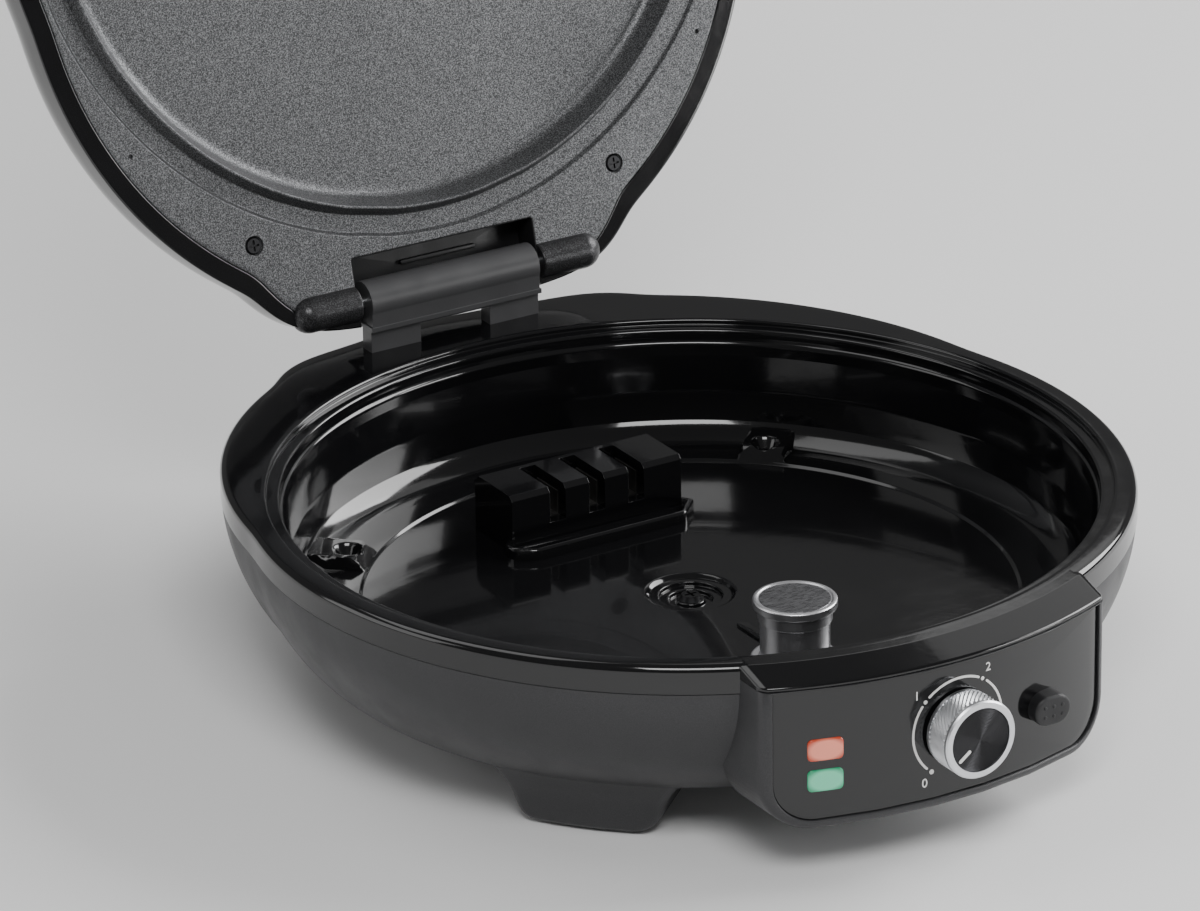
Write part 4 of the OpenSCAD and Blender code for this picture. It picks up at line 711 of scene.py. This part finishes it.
POWER_Z, READY_Z = 56, 43.1
# the last number of each is the strength of the painted glow that stands in for the lamp behind
lens_red = lens_finish("lens_red", (0.50, 0.06, 0.025), (0.86, 0.27, 0.18), 0.14, POWER_Z)
lens_green = lens_finish("lens_green", (0.02, 0.32, 0.15), (0.14, 0.62, 0.38), 0.12, READY_Z)
window = [(0, -5), (0, -0.4), *soft_edge(0.7, 0, 0.7, 5), (1.6, 0.8), (3.2, 0.85)]
for lens_name, node, colour, z0, tint in (("power_window", "power_lens", "orange_lens", POWER_Z, lens_red),
                                          ("ready_window", "ready_lens", "green_lens", READY_Z, lens_green)):
    pane = piece(lens_name, "base", [stack(rectangle(7.2, 4.6, 2.0), window, lamp_place(z0), 6, 4)], tint)
    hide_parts(node)

# %% [markdown]
# ## Marks printed round the knob
# The dial's marks are white paint: a dot where the knob is off, three arcs with a smaller dot after
# each, and plain numbers beside the dots. A mark is a thin skin just proud of the panel, bent to the
# same arc. An arc is a band between two radii, closed at its ends by half circles.
# %% Dial marks
print_white = finish("print_white", (0.78, 0.78, 0.76), 0.5)
uneven(print_white, 400, 0.42, 0.6)


def on_panel(x, z, lift):
    """A point of the flat dial drawing, centred on the knob, laid on the panel."""
    return np.stack([x, on_arc(x, PANEL_R + lift), KNOB_Z + z], -1)


def band(a0, a1, radius, width, steps=28):
    """Arc from direction a0 to a1 (degrees), a closed skin 0.12 mm thick with round ends."""
    a, way = np.radians(np.linspace(a0, a1, steps)), np.sign(a1 - a0)
    cap, extra = width / 2 / radius, np.linspace(0, np.pi / 2, 6)[1:]
    angle = np.concatenate([a[0] - way * cap * np.sin(extra[::-1]), a, a[-1] + way * cap * np.sin(extra)])
    taper = width / 2 * np.cos(extra)
    half = np.concatenate([taper[::-1], np.full(steps, width / 2), taper])
    side = np.array([-1, -1, 0, 1, 1])
    lift = np.array([-0.15, 0.10, 0.12, 0.10, -0.15])
    half[0] = half[-1] = 0
    rise = np.repeat(lift[None, :], len(angle), 0)
    rise[0] = rise[-1] = lift[0]
    r = radius + half[:, None] * side[None, :]
    x, z = r * np.cos(angle)[:, None], r * np.sin(angle)[:, None]
    return on_panel(x, z, rise), False, True


def dot(direction, radius, size):
    """A round dot, as a small stack."""
    a = math.radians(direction)
    cx, cz = radius * math.cos(a), radius * math.sin(a)
    t = np.linspace(0, 2 * np.pi, 24, endpoint=False)[None, :]
    k, rise = np.array([(0, -0.15), (1, -0.15), (1, 0.08), (0.9, 0.12), (0, 0.12)]).T[:, :, None]
    return on_panel(cx + size * k * np.cos(t), cz + size * k * np.sin(t), rise + 0 * t), False, True


MARKS_R, NUMBERS_R, OFF, HEATS = 20.5, 25.6, 233, (138, 58, -36)
marks = [dot(OFF, MARKS_R, 1.0)]
marks += [band(a0, a1, MARKS_R, 0.95) for a0, a1 in ((225, 144), (131, 64), (51, -30))]
marks += [dot(heat, MARKS_R, 0.8) for heat in HEATS]
piece("dial_marks", "base", marks, print_white)


def number(text, direction, radius, size):
    """A numeral as a thin solid, made flat as text first and then bent to the panel."""
    curve = bpy.data.curves.new(f"numeral_{text}", "FONT")
    curve.body, curve.size, curve.extrude = text, size, 0.13
    curve.align_x, curve.align_y = "CENTER", "CENTER"
    sketch = bpy.data.objects.new(f"numeral_{text}_sketch", curve)
    bpy.context.scene.collection.objects.link(sketch)
    mesh = bpy.data.meshes.new_from_object(sketch.evaluated_get(bpy.context.evaluated_depsgraph_get()))
    bpy.data.objects.remove(sketch)
    p = np.empty(len(mesh.vertices) * 3)
    mesh.vertices.foreach_get("co", p)
    p = p.reshape(-1, 3)
    p[:, :2] -= (p[:, :2].min(0) + p[:, :2].max(0)) / 2
    a = math.radians(direction)
    q = on_panel(p[:, 0] + radius * math.cos(a), p[:, 1] + radius * math.sin(a), p[:, 2])
    mesh.vertices.foreach_set("co", (q * MM).ravel())
    tidy_mesh(mesh)
    place(f"numeral_{text}", mesh, "base", print_white)


for text, direction in zip("0123", (OFF, *HEATS)):
    number(text, direction, NUMBERS_R, 5.2)

# %% [markdown]
# ## The knob
# The knurled sleeve comes from the CAD: its diamonds are real geometry, so it only needs a metal
# finish. The black disc in its face is turned metal, whose rings stretch each highlight into a fan.
# The rings are a fine wave in the distance from the knob's axis, used as bump.
# %% Knob finishes
spun_black = finish("spun_black", (0.030, 0.030, 0.032), 0.22, Metallic=0.9)
where = add(spun_black, "ShaderNodeTexCoord")
centred = add(spun_black, "ShaderNodeMapping", [("Vector", where, "Object")])
centred.inputs["Location"].default_value = (0, 0, -KNOB_Z * MM)
rings = add(spun_black, "ShaderNodeTexWave", [("Vector", centred, "Vector")], wave_type="RINGS",
            rings_direction="Y", Scale=560.0, Distortion=0.4, Detail=1.0)
turned_bump = add(spun_black, "ShaderNodeBump", [("Height", rings, "Fac")], Strength=0.9, Distance=0.00013)
into_shader(spun_black, "Normal", turned_bump, "Normal")


disc_section = rounded([(0, 207.0), (13.1, 207.0), (13.1, 208.05, 0.25), (0, 208.1)], 4)
disc = piece("knob_face", "knob", [turned(
    disc_section, steps=128, to_place=lambda x, y, z: (x, -z, y + KNOB_Z))], spun_black, 30)
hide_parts("knob_disc")


def pointer_place(x, y, lift):
    """The pointer is drawn along +x and turned to its place on the knob's face."""
    c, s = math.cos(math.radians(217)), math.sin(math.radians(217))
    return x * c - y * s, -(208.0 + lift), KNOB_Z + x * s + y * c


line_layers = [(0, -0.6), (0, 0.1), *soft_edge(0.2, 0, 0.3, 3)]
pointer = piece("knob_line", "knob", [stack(
    rectangle(3.3, 0.75, 0.7, 9.0), line_layers, pointer_place, 5, 3)], print_white)
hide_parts("knob_pointer")

# %% [markdown]
# ## The push button
# A matt oblong button stands out of the panel at the right. It is a stack along its own travel: a
# flange that stops it behind the panel, the cap with its soft front edge, and six small domes that
# the finger feels. A stem behind the flange reaches to the switch.
# %% Push button
def button_place(x, y, lift):
    """Faces a drawing out of the panel at the button's place; lift is the distance from the axis."""
    return x + BUTTON_X, -lift, y + BUTTON_Z


STEM_LENGTH, STEM_R, FLANGE = 10, 2.5, 1.6
button_face = math.sqrt(PANEL_R ** 2 - BUTTON_X ** 2) + 7.5
flange_back = -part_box("push_button")[1][1] * 1000 + STEM_LENGTH
cap_layers = [(-FLANGE, flange_back), (-FLANGE, flange_back + FLANGE), (0, flange_back + FLANGE), (0, 186),
              (0, button_face - 1.6), *soft_edge(1.3, 0, button_face - 0.15, 6),
              (2.2, button_face - 0.06), (3.6, button_face), (5.2, button_face)]
button_patches = [stack(rectangle(8.25, 6.15, 6.1), cap_layers, button_place, 12, 2)]
stem = np.array([(0, flange_back - STEM_LENGTH), (STEM_R, flange_back - STEM_LENGTH),
                 (STEM_R, flange_back + 0.5), (0, flange_back + 0.5)])
button_patches.append(turned(stem, steps=32, to_place=button_place))
print("the button's flange lies", round(flange_back, 2), "mm from the axis")
pip = rounded([(0, -0.4), (0.8, -0.4), (0.8, 0.1, 0.05), (0.55, 0.32, 0.2), (0, 0.36)], 3)
for pip_x in (-4, 0, 4):
    for pip_y in (-2, 2):
        button_patches.append(turned(pip, steps=20, to_place=lambda x, y, z: button_place(
            x + pip_x, y + pip_y, z + button_face - 0.05)))
button = piece("oblong_button", "push_button", button_patches, matt_black)
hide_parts("push_button")

# %% [markdown]
# ## The pan sensor
# A satin chrome button on a spring touches the underside of the pan. Cap and collar are turned
# sections with crisp edges. The cap's face is a disc of its own, because pans leave a mottled,
# scratched surface on it: one stretched noise drives its colour, its roughness and its bump.
# %% Pan sensor
chrome_scratched = finish("chrome_scratched", (0.34, 0.34, 0.35), 0.35, Metallic=1.0)
where = add(chrome_scratched, "ShaderNodeTexCoord")
stretch = add(chrome_scratched, "ShaderNodeMapping", [("Vector", where, "Object")])
stretch.inputs["Scale"].default_value = (1, 14, 1)
stretch.inputs["Rotation"].default_value = (0, 0, 0.5)
lines = add(chrome_scratched, "ShaderNodeTexNoise", [("Vector", stretch, "Vector")], Scale=260.0, Detail=6.0,
            Distortion=0.6)
scratch = add(chrome_scratched, "ShaderNodeBump", [("Height", lines, "Fac")], Strength=0.35, Distance=0.00004)
into_shader(chrome_scratched, "Normal", scratch, "Normal")
worn = add(chrome_scratched, "ShaderNodeMapRange", [("Value", lines, "Fac")])
worn.inputs["To Min"].default_value, worn.inputs["To Max"].default_value = 0.16, 0.4
mottle = colour_ramp(chrome_scratched, lines, "Fac", 0.36, (0.08, 0.08, 0.085), 0.66, (0.46, 0.46, 0.48))
into_shader(chrome_scratched, "Base Color", mottle, "Color")
into_shader(chrome_scratched, "Roughness", worn, "Result")

head = rounded([(0, 61.2), (14.2, 61.2), (14.2, 56.1), (15, 56.1, 0.2), (15, 61.6, 0.2), (17, 61.6, 0.4),
                (17, 65.0, 0.9), (15.4, 65.0, 0.5), (14.8, 64.6, 0.3), (0, 64.6)], 5)
sensor = piece("sensor_button", "sensor_head", [turned(head, (0, SENSOR_Y), 128)], chrome)
cap_face = rounded([(0, 64.3), (14.4, 64.3), (14.4, 64.7, 0.1), (0, 64.7)], 3)
sensor_face = piece("sensor_face", "sensor_head", [turned(cap_face, (0, SENSOR_Y), 96)], chrome_scratched)
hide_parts("sensor_head")
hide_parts("sensor_head")
cup_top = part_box("sensor_cup")[1][2] * 1000
cup = rounded([(0, 37.8), (18, 37.8), (18, 39.5, 0.8), (14.05, 39.5, 0.6), (14.05, cup_top, 0.2),
               (12.6, cup_top, 0.2), (12.6, 39.7), (0, 39.7)], 4)
collar = piece("sensor_collar", "base", [turned(cup, (0, SENSOR_Y), 128)], chrome)
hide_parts("sensor_cup")

# %% [markdown]
# ## Springs
# The springs under the sensor and behind the button are round wire carried along a helix. Each is
# drawn again here, a little shorter than the CAD's spring, and gets a mesh of its own.
# %% Springs
def spring(radius, wire, length, turns, to_place):
    """Circles of the wire's radius about points (R cos a, R sin a, L a / a_end), closed at the ends."""
    a = np.linspace(0, 2 * np.pi * turns, 24 * turns + 1)[:, None]
    u = np.linspace(0, 2 * np.pi, 10, endpoint=False)[None, :]
    out = radius + wire * np.cos(u)
    grid = np.stack([out * np.cos(a), out * np.sin(a), length * a / a[-1] + wire * np.sin(u)], -1)
    ends = [np.tile([[radius * np.cos(e), radius * np.sin(e), z]], (10, 1))
            for e, z in ((0.0, 0.0), (a[-1, 0], length))]
    grid = np.concatenate([[ends[0]], grid, [ends[1]]])
    return np.stack(to_place(grid[..., 0], grid[..., 1], grid[..., 2]), -1), False, True


low, high = (np.array(c) * 1000 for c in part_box("sensor_spring"))
rise = high[2] - low[2] - 1.2
sensor_coil = piece("sensor_coil", "base", [spring(
    9, 0.6, rise, 4, lambda x, y, z: (x, y + SENSOR_Y, z + low[2] + 0.6))], steel)
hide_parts("sensor_spring")
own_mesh(sensor_coil)
low, high = (np.array(c) * 1000 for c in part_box("button_spring"))
reach = high[1] - low[1] - 1.0
button_coil = piece("button_coil", "base", [spring(
    4.4, 0.5, reach, 4, lambda x, y, z: (x + BUTTON_X, low[1] + 0.5 + z, y + BUTTON_Z))], steel)
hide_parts("button_spring")
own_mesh(button_coil)
print("springs:", round(rise, 1), "and", round(reach, 1), "mm long at rest")

# %% [markdown]
# ## Softened copies of square-edged parts
# The socket block and the hinge bracket have the right shape in the CAD and only need broken edges.
# A copy of the CAD mesh is merged, its flat faces are joined into single ones, and a bevel rounds
# every real edge, because a razor-sharp edge catches no light.
# %% Softened copies
def softened(node, name, body, width, finish_, segments=3, angle=30):
    """A copy of a CAD node's mesh with merged points, joined flats and bevelled edges."""
    mesh = frame["nodes"][node].data.copy()
    mesh.name = name
    work = bmesh.new()
    work.from_mesh(mesh)
    bmesh.ops.remove_doubles(work, verts=work.verts, dist=2e-6)
    bmesh.ops.dissolve_limit(work, angle_limit=math.radians(1.0), verts=work.verts, edges=work.edges)
    edges = [e for e in work.edges if len(e.link_faces) == 2 and e.calc_face_angle(0) > math.radians(angle)]
    bmesh.ops.bevel(work, geom=edges, offset=width * MM, segments=segments, profile=0.5,
                    affect="EDGES", clamp_overlap=True)
    bmesh.ops.triangulate(work, faces=[f for f in work.faces if len(f.verts) > 4])
    bmesh.ops.recalc_face_normals(work, faces=work.faces)
    work.to_mesh(mesh)
    work.free()
    if mesh.has_custom_normals:
        mesh.attributes.remove(mesh.attributes["custom_normal"])
    mesh.set_sharp_from_angle(angle=math.radians(35))
    mesh.polygons.foreach_set("use_smooth", np.ones(len(mesh.polygons), bool))
    obj = place(name, mesh, body, finish_)
    obj.modifiers.new("Even shading", "WEIGHTED_NORMAL").keep_sharp = True
    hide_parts(node)
    return obj


block = softened("terminal_block", "socket_block", "base", 1.3, gloss_black, 4)
barrel = softened("hinge_bracket", "hinge_barrel", "hinge_bracket", 0.6, hinge_grey)

# %% [markdown]
# ## The lid's own frame
# The lid is drawn shut and then turned open about the hinge's axis, as the CAD does it. In the shut
# drawing x and y are the plan's, and height is counted from the hinge's axis, so the face that looks
# at the base lies at -2. Turning every point of a patch is one line of arithmetic on whole arrays.
# %% Opening the lid
def opened(patch):
    """Turns a patch drawn shut about the hinge axis by the angle at which the lid stands open."""
    grid, a, b = patch
    y, z = grid[..., 1] - HINGE_Y, grid[..., 2]
    c, s = math.cos(-LID_OPEN), math.sin(-LID_OPEN)
    return np.stack([grid[..., 0], HINGE_Y + y * c - z * s, HINGE_Z + y * s + z * c], -1), a, b


def carve(obj, patches):
    """Takes closed patches out of a finished piece with an exact Boolean, and applies it."""
    cutter = piece(obj.name + "_cutter", obj["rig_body"], patches)
    cut = obj.modifiers.new("Cut", "BOOLEAN")
    cut.object, cut.operation, cut.solver = cutter, "DIFFERENCE", "EXACT"
    mesh = bpy.data.meshes.new_from_object(obj.evaluated_get(bpy.context.evaluated_depsgraph_get()))
    obj.modifiers.clear()
    old, obj.data = obj.data, mesh
    mesh.name = obj.name
    bpy.data.meshes.remove(old)
    bpy.data.objects.remove(cutter)
    mesh.set_sharp_from_angle(angle=math.radians(38))
    print(f"{obj.name} after carving: {len(mesh.polygons)} faces")


def slab(x0, x1, y0, y1, z0, z1, edge=0.5):
    """A block with soft upright corners and soft top and bottom edges."""
    corners = rectangle((x1 - x0) / 2, (y1 - y0) / 2, edge * 1.6, (x0 + x1) / 2, (y0 + y1) / 2)
    upper = soft_edge(edge, 0, z1, 3)
    layers = [(inset, z0 + z1 - lift) for inset, lift in reversed(upper)] + upper
    return stack(corners, layers, flat_on(0), 4, 3)


def block_cut(x0, x1, y0, y1, z0, z1):
    """A plain box as a closed patch, for cutting."""
    ring = np.array([[x0, y0], [x1, y0], [x1, y1], [x0, y1]], float)
    return capped([at_height(ring, z0), at_height(ring, z1)]), False, True


def pin_cut(x, y, z0, z1, radius):
    """A round bar for cutting a hole."""
    return turned(np.array([(0, z0), (radius, z0), (radius, z1), (0, z1)], float), (x, y), 48)


# %% [markdown]
# ## The lid's dome
# The lid is a thin shell: a flat face all round that looks at the base, an upright lip, and a dome
# whose edge is a superellipse, a little fuller than an ellipse. Behind the face a seat is let in for the
# cooking plate. The section runs from the middle of the inner side, out under the dome, over the
# face and the lip, and back over the outer side. The pocket for the hinge's barrel is cut out and
# lined with its own walls, in matt black, and a small stop stands in it.
# %% Lid
def dome_curve(inset0, drop, steps=26):
    """Superellipse edge of the dome and its low crown: (inset, height) from the lip to the middle."""
    depth, lip_z, rise, power = 62, 6, 36, 2.3
    t = np.linspace(0, np.pi / 2, steps)
    c, s = np.maximum(np.cos(t), 0) ** (2 / power), np.sin(t) ** (2 / power)
    edge = np.stack([depth * (1 - c) + inset0, lip_z + rise * s - drop], 1)
    u = np.linspace(0, 1, 12)[1:]
    crown = np.stack([depth + 55 * u + inset0, lip_z + rise + 3 * u * u * (3 - 2 * u) - drop], 1)
    return np.concatenate([edge, crown])


outer, inner_dome = dome_curve(0, 0), dome_curve(2.2, 2.2)
inner_dome = inner_dome[inner_dome[:, 1] > 3.2][::-1]
seat = rounded([(12.5, 1.8), (12.5, 0.0, 0.3)], 2)
face = rounded([(8.5, 0.0), (8.5, -2.0, 0.35), (7.0, -2.0)], 3)
lip = rounded([(1.5, -2.0), (0, -2.0, 1.1), (0, 6.0)], 6)
dome_section = joined(([(0, 42.8), (20, 42.8)], 0), (inner_dome, 1), ([(4.4, 1.8)], 1), (seat, 0.48),
                      (face, 0.235), ([(4.0, -2.0)], 0.4), (lip, 1), (outer[1:], 1),
                      ([(20, 45.0), (0, 45.0)], 0))
dome = piece("lid_dome", "lid", [opened((around_plan(dome_section, LID_BACK), True, False))], gloss_black)
carve(dome, [opened(block_cut(-44.1, 44.1, HINGE_Y - 19.2, HINGE_Y + 20, -6, 12))])
near, far = HINGE_Y - 21.4, HINGE_Y + 9.0
pocket = [slab(-46.3, -44.1, near, far, -1.9, 14.2), slab(44.1, 46.3, near, far, -1.9, 14.2),
          slab(-46.0, 46.0, near + 0.1, near + 2.3, -1.8, 14.1),
          slab(-45.9, 45.9, near + 0.3, far - 0.1, 12.0, 14.15),
          slab(-15, 22, HINGE_Y - 12, HINGE_Y - 10, 10, 12.6)]
lining = piece("hinge_pocket", "lid", [opened(p) for p in pocket], matt_black)
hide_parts("lid_shell")
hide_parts("lid_shell")

# %% [markdown]
# ## The cooking plate
# The plate is one pressing. From the middle out it has a flat dish floor, a soft fillet, a wall, a
# narrow ridge that seals on the pan, a sunk gutter, a step, and a flat flange that fills the lid's
# outline and leaves a notch for the hinge. It is a fan of columns: inside the step each column
# follows the turned section, and outside it runs straight to its own point on the edge, so the
# fan can open round the notch's corners without a fold.
# %% Cooking plate
NOTCH_X, NOTCH_Y, STEP_R = 44.4, 173.5, 169.7


def plate_edge(steps=6):
    """Half of the plate's outline, from the front over the right to the notch's middle: points, and
    the direction in which each column leaves the step."""
    corner = math.atan2(PLATE_BACK, NOTCH_X + 2.2)
    a = directions[(directions > -np.pi / 2 - 1e-6) & (directions < np.pi / 2 - 0.2)]
    a = a[a < corner - 0.004]
    r = plan_radius(a, -8.8, PLATE_BACK)
    run = np.stack([r * np.cos(a), r * np.sin(a)], 1)
    side = rounded([run[-1], (NOTCH_X, PLATE_BACK, 1.6), (NOTCH_X, NOTCH_Y, 1.6), (20, NOTCH_Y)],
                   steps, support=0.4)[1:]
    front = np.stack([np.linspace(side[-1, 0], 0, 6)[1:], np.full(5, NOTCH_Y)], 1)
    points = np.concatenate([run, side, front])
    fold = math.radians(60)
    lead = np.where(a < fold, a, fold + (a - fold) * (math.radians(72.6) - fold) / (a[-1] - fold))
    n = len(side) - 1
    turn_in = np.linspace(math.radians(72.7), math.radians(74.6), n)
    last = np.interp(front[:, 0], [0, side[-1, 0]], [90, 82.0]) * math.pi / 180
    return points, np.concatenate([lead, turn_in, [math.radians(82.0)], last])


def plate_grid():
    """Dish, ridge, gutter and step as a turned section, then straight columns to the rounded edge."""
    half, lead = plate_edge()
    edge = np.concatenate([half, (half * [-1, 1])[::-1][1:-1]])
    lead = np.concatenate([lead, (np.pi - lead)[::-1][1:-1]])
    along = np.roll(edge, -1, 0) - np.roll(edge, 1, 0)
    along /= np.linalg.norm(along, axis=1)[:, None]
    inward = np.stack([-along[:, 1], along[:, 0]], 1)
    front = rounded([(0, 5.7), (60, 5.7), (120, 5.7), (152.3, 5.7, 5.5), (157.0, -5.2, 0.45),
                     (157.95, -5.2, 0.45), (160.7, 0.1, 0.7), (168.3, 0.1, 0.8), (STEP_R, -2.0, 0.7),
                     (STEP_R + 0.8, -2.0)], 7)
    back = [(STEP_R, 2.3), (158, 2.3), (152, 7.9), (0, 7.9)]
    ring = np.stack([np.cos(lead), np.sin(lead)], 1)
    rows = [at_height(ring * r, z) for r, z in front]
    inner = rows[-1][:, :2]
    for t in (0.25, 0.5, 0.75, 0.92):
        rows.append(at_height(inner + (edge + inward * 0.5 - inner) * t, -2.0))
    for inset, z in ((0.5, -2.0), (0.3, -1.95), (0.12, -1.82), (0.03, -1.65), (0.0, -1.45), (0.0, 0.0)):
        rows.append(at_height(edge + inward * inset, z))
    rows += [at_height(ring * r, z) for r, z in [(STEP_R + 0.8, 0.0), *back]]
    return np.stack(rows), False, True


def pin_boss(side):
    """Capsule on the hinge's axis: flat soft end at the notch, half ball at the far end."""
    t, radius = np.linspace(0, np.pi / 2, 12), 7.8
    ball = np.stack([radius * np.cos(t), 67.2 + radius * np.sin(t)], 1)
    bar = rounded([(0, NOTCH_X), (radius, NOTCH_X, 0.7), (radius, 60), (radius, 67.0)], 4)
    return turned(np.concatenate([bar, ball]), steps=64, to_place=lambda x, y, z: (side * z, HINGE_Y + x, y))


front_screw_y = -math.sqrt(164.4 ** 2 - 60 ** 2)
screw_places = [(-88.1, HINGE_Y - 34.1, -2.0), (88.1, HINGE_Y - 34.1, -2.0),
                (-60, front_screw_y, 0.1), (60, front_screw_y, 0.1)]
plate = piece("cooking_plate", "lid", [opened(plate_grid())], nonstick, 42)
holes = [opened(pin_cut(x, y, z - 1, z + 1.2, 4.3)) for x, y, z in screw_places]
shafts = [opened(pin_cut(x, y, z + 1.0, z + 9, 1.9)) for x, y, z in screw_places]
eyes = [opened(pin_cut(s * 138, HINGE_Y - 82, -3, -0.6, 1.0)) for s in (-1, 1)]
carve(plate, holes + eyes)
carve(plate, shafts)
bosses = piece("pin_bosses", "lid", [opened(pin_boss(1)), opened(pin_boss(-1))], boss_coat_painted_shade)
for part in (plate, bosses):
    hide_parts("lid_plate")

# %% [markdown]
# ## The handle
# The handle is out of the picture, so it keeps the drawing's bow with its finger gap. It is a
# softened copy, with a wide bevel because fingers close round it.
# %% Handle
bow = softened("lid_handle", "lid_bow", "lid", 1.6, gloss_black, 4, 40)

# %% [markdown]
# ## Finishes for the pieces that come from the CAD
# The small hardware keeps its CAD shape, because screws, contacts and leads are right there. Each
# gets the finish of the real thing in place of the plain colour it was packed with.
# %% Finishes for carried-over pieces
plated = finish("plated", (0.16, 0.155, 0.15), 0.4, Metallic=1.0)
uneven(plated, 150, 0.34, 0.5)
ceramic = finish("ceramic", (0.72, 0.70, 0.64), 0.55)
uneven(ceramic, 300, 0.45, 0.65)
grain(ceramic, 900, 0.00005)
board_green = finish("board_green", (0.02, 0.14, 0.05), 0.4)
speckled(board_green, 900, (0.015, 0.11, 0.04), (0.03, 0.18, 0.07))
lamp_glass = finish("lamp_glass", (0.85, 0.80, 0.70), 0.08, Transmission_Weight=0.6)
uneven(lamp_glass, 200, 0.05, 0.12)
red_sleeve = finish("red_sleeve", (0.42, 0.03, 0.02), 0.45)
speckled(red_sleeve, 1500, (0.36, 0.025, 0.018), (0.48, 0.04, 0.025))
white_sleeve = finish("white_sleeve", (0.66, 0.63, 0.56), 0.7)
speckled(white_sleeve, 2200, (0.5, 0.48, 0.42), (0.74, 0.71, 0.64))
grain(white_sleeve, 2400, 0.0001)
tan_bead = finish("tan_bead", (0.42, 0.20, 0.09), 0.45)
speckled(tan_bead, 1200, (0.34, 0.15, 0.06), (0.50, 0.26, 0.12))

finishes = {
    silver: ["knob"], rubber: ["foot_pads", "cord_gland"],
    dark_steel: ["bowl_screws", "plate_screws", "lid_heater"],
    steel: ["control_body", "control_nut", "control_shaft", "hinge_pin",
            "guide_screws", "heater_clips", "lid_fuse", "handle_screws"],
    satin_black: ["hinge_guide", "button_switch"], tin: ["heat_shield"], plated: ["terminal_contacts"],
    ceramic: ["junction_block"], board_green: ["lamp_board"], lamp_glass: ["indicator_lamps"],
    red_sleeve: ["base_wires"], white_sleeve: ["lid_wires"], tan_bead: ["thermistor"]}
for material, names in finishes.items():
    for name in names:
        node = frame["nodes"][name]
        for k in range(len(node.material_slots)):
            node.material_slots[k].material = material
print("carried-over pieces:", sum(len(n) for n in finishes.values()))

# %% [markdown]
# ## Floor and light
# A plain pale floor and soft studio light, as in a catalogue picture. The surround is dim, because
# gloss black mirrors all of it. A large panel at the right is the main light; one over the camera
# and a low one at the front right light the control panel and the rim; weaker ones above, at the
# rear right and at the left keep the far edges from vanishing.
# %% Floor and light
floor_mesh = bpy.data.meshes.new("floor")
floor_mesh.from_pydata([(-4, -4, 0), (4, -4, 0), (4, 4, 0), (-4, 4, 0)], [], [(0, 1, 2, 3)])
floor = bpy.data.objects.new("floor", floor_mesh)
bpy.context.scene.collection.objects.link(floor)
paper = finish("floor_paper", (0.86, 0.86, 0.86), 0.7)
floor_mesh.materials.append(paper)

world = bpy.data.worlds.new("studio")
bpy.context.scene.world = world
world.use_nodes = True
world.node_tree.nodes["Background"].inputs["Color"].default_value = (1, 1, 1, 1)
world.node_tree.nodes["Background"].inputs["Strength"].default_value = 0.14


def panel_light(name, place_, aim, width, height, power):
    """A soft rectangular lamp at a place in metres, turned to aim at a point; power in watts."""
    lamp = bpy.data.lights.new(name, "AREA")
    lamp.shape, lamp.size, lamp.size_y, lamp.energy = "RECTANGLE", width, height, power
    obj = bpy.data.objects.new(name, lamp)
    bpy.context.scene.collection.objects.link(obj)
    obj.location = place_
    obj.rotation_euler = (Vector(aim) - Vector(place_)).to_track_quat("-Z", "Y").to_euler()


panel_light("light_right", (2.1, -0.25, 1.25), (0, 0, 0.1), 1.6, 1.4, 70)
panel_light("light_over_camera", (-0.75, -1.5, 2.0), (0, 0, 0.05), 1.2, 0.9, 36)
panel_light("light_front_right", (2.15, -1.95, 0.55), (0, 0.2, 0.3), 1.1, 0.75, 26)
panel_light("light_high", (-0.7, 1.2, 2.7), (0, 0, 0), 1.8, 1.4, 14)
panel_light("card_right_rear", (1.8, 1.2, 1.9), (0, 0, 0.1), 1.9, 1.4, 6)
panel_light("light_left", (-2.1, 0.9, 0.9), (0, 0, 0.1), 1.6, 1.3, 12)

# %% [markdown]
# ## The camera
# The camera stands to the front and left, a little above, far off with a long lens, as the
# photograph was taken. Its three directions and its distance were found by fitting the object's
# known curves to the picture, and two small turns put the rim's middle where the photograph has it.
# %% Camera
RIGHTWARD, UPWARD, DISTANCE = 89.516 / 7000, 22.99 / 7000, 2.82465  # slopes of the turns, and metres
back_way = Vector((-0.48689912, -0.77806022, 0.39692762))
right_way = Vector((0.84592468, -0.53324814, -0.00760639))
up_way = Vector((0.21757915, 0.33206733, 0.91781839))
look = (-back_way - right_way * RIGHTWARD + up_way * UPWARD).normalized()
side_way = look.cross(up_way).normalized()
top_way = side_way.cross(look)
lens = bpy.data.cameras.new("photo_camera")
lens.lens, lens.sensor_width, lens.clip_end = 210, 36, 50
camera = bpy.data.objects.new("photo_camera", lens)
bpy.context.scene.collection.objects.link(camera)
turn = Matrix((side_way, top_way, -look)).transposed().to_4x4()
camera.matrix_world = Matrix.Translation(Vector((0, 0, BASE_H * MM)) + back_way * DISTANCE) @ turn
bpy.context.scene.camera = camera
print("the camera is", round(camera.location.length, 2), "m from the origin")
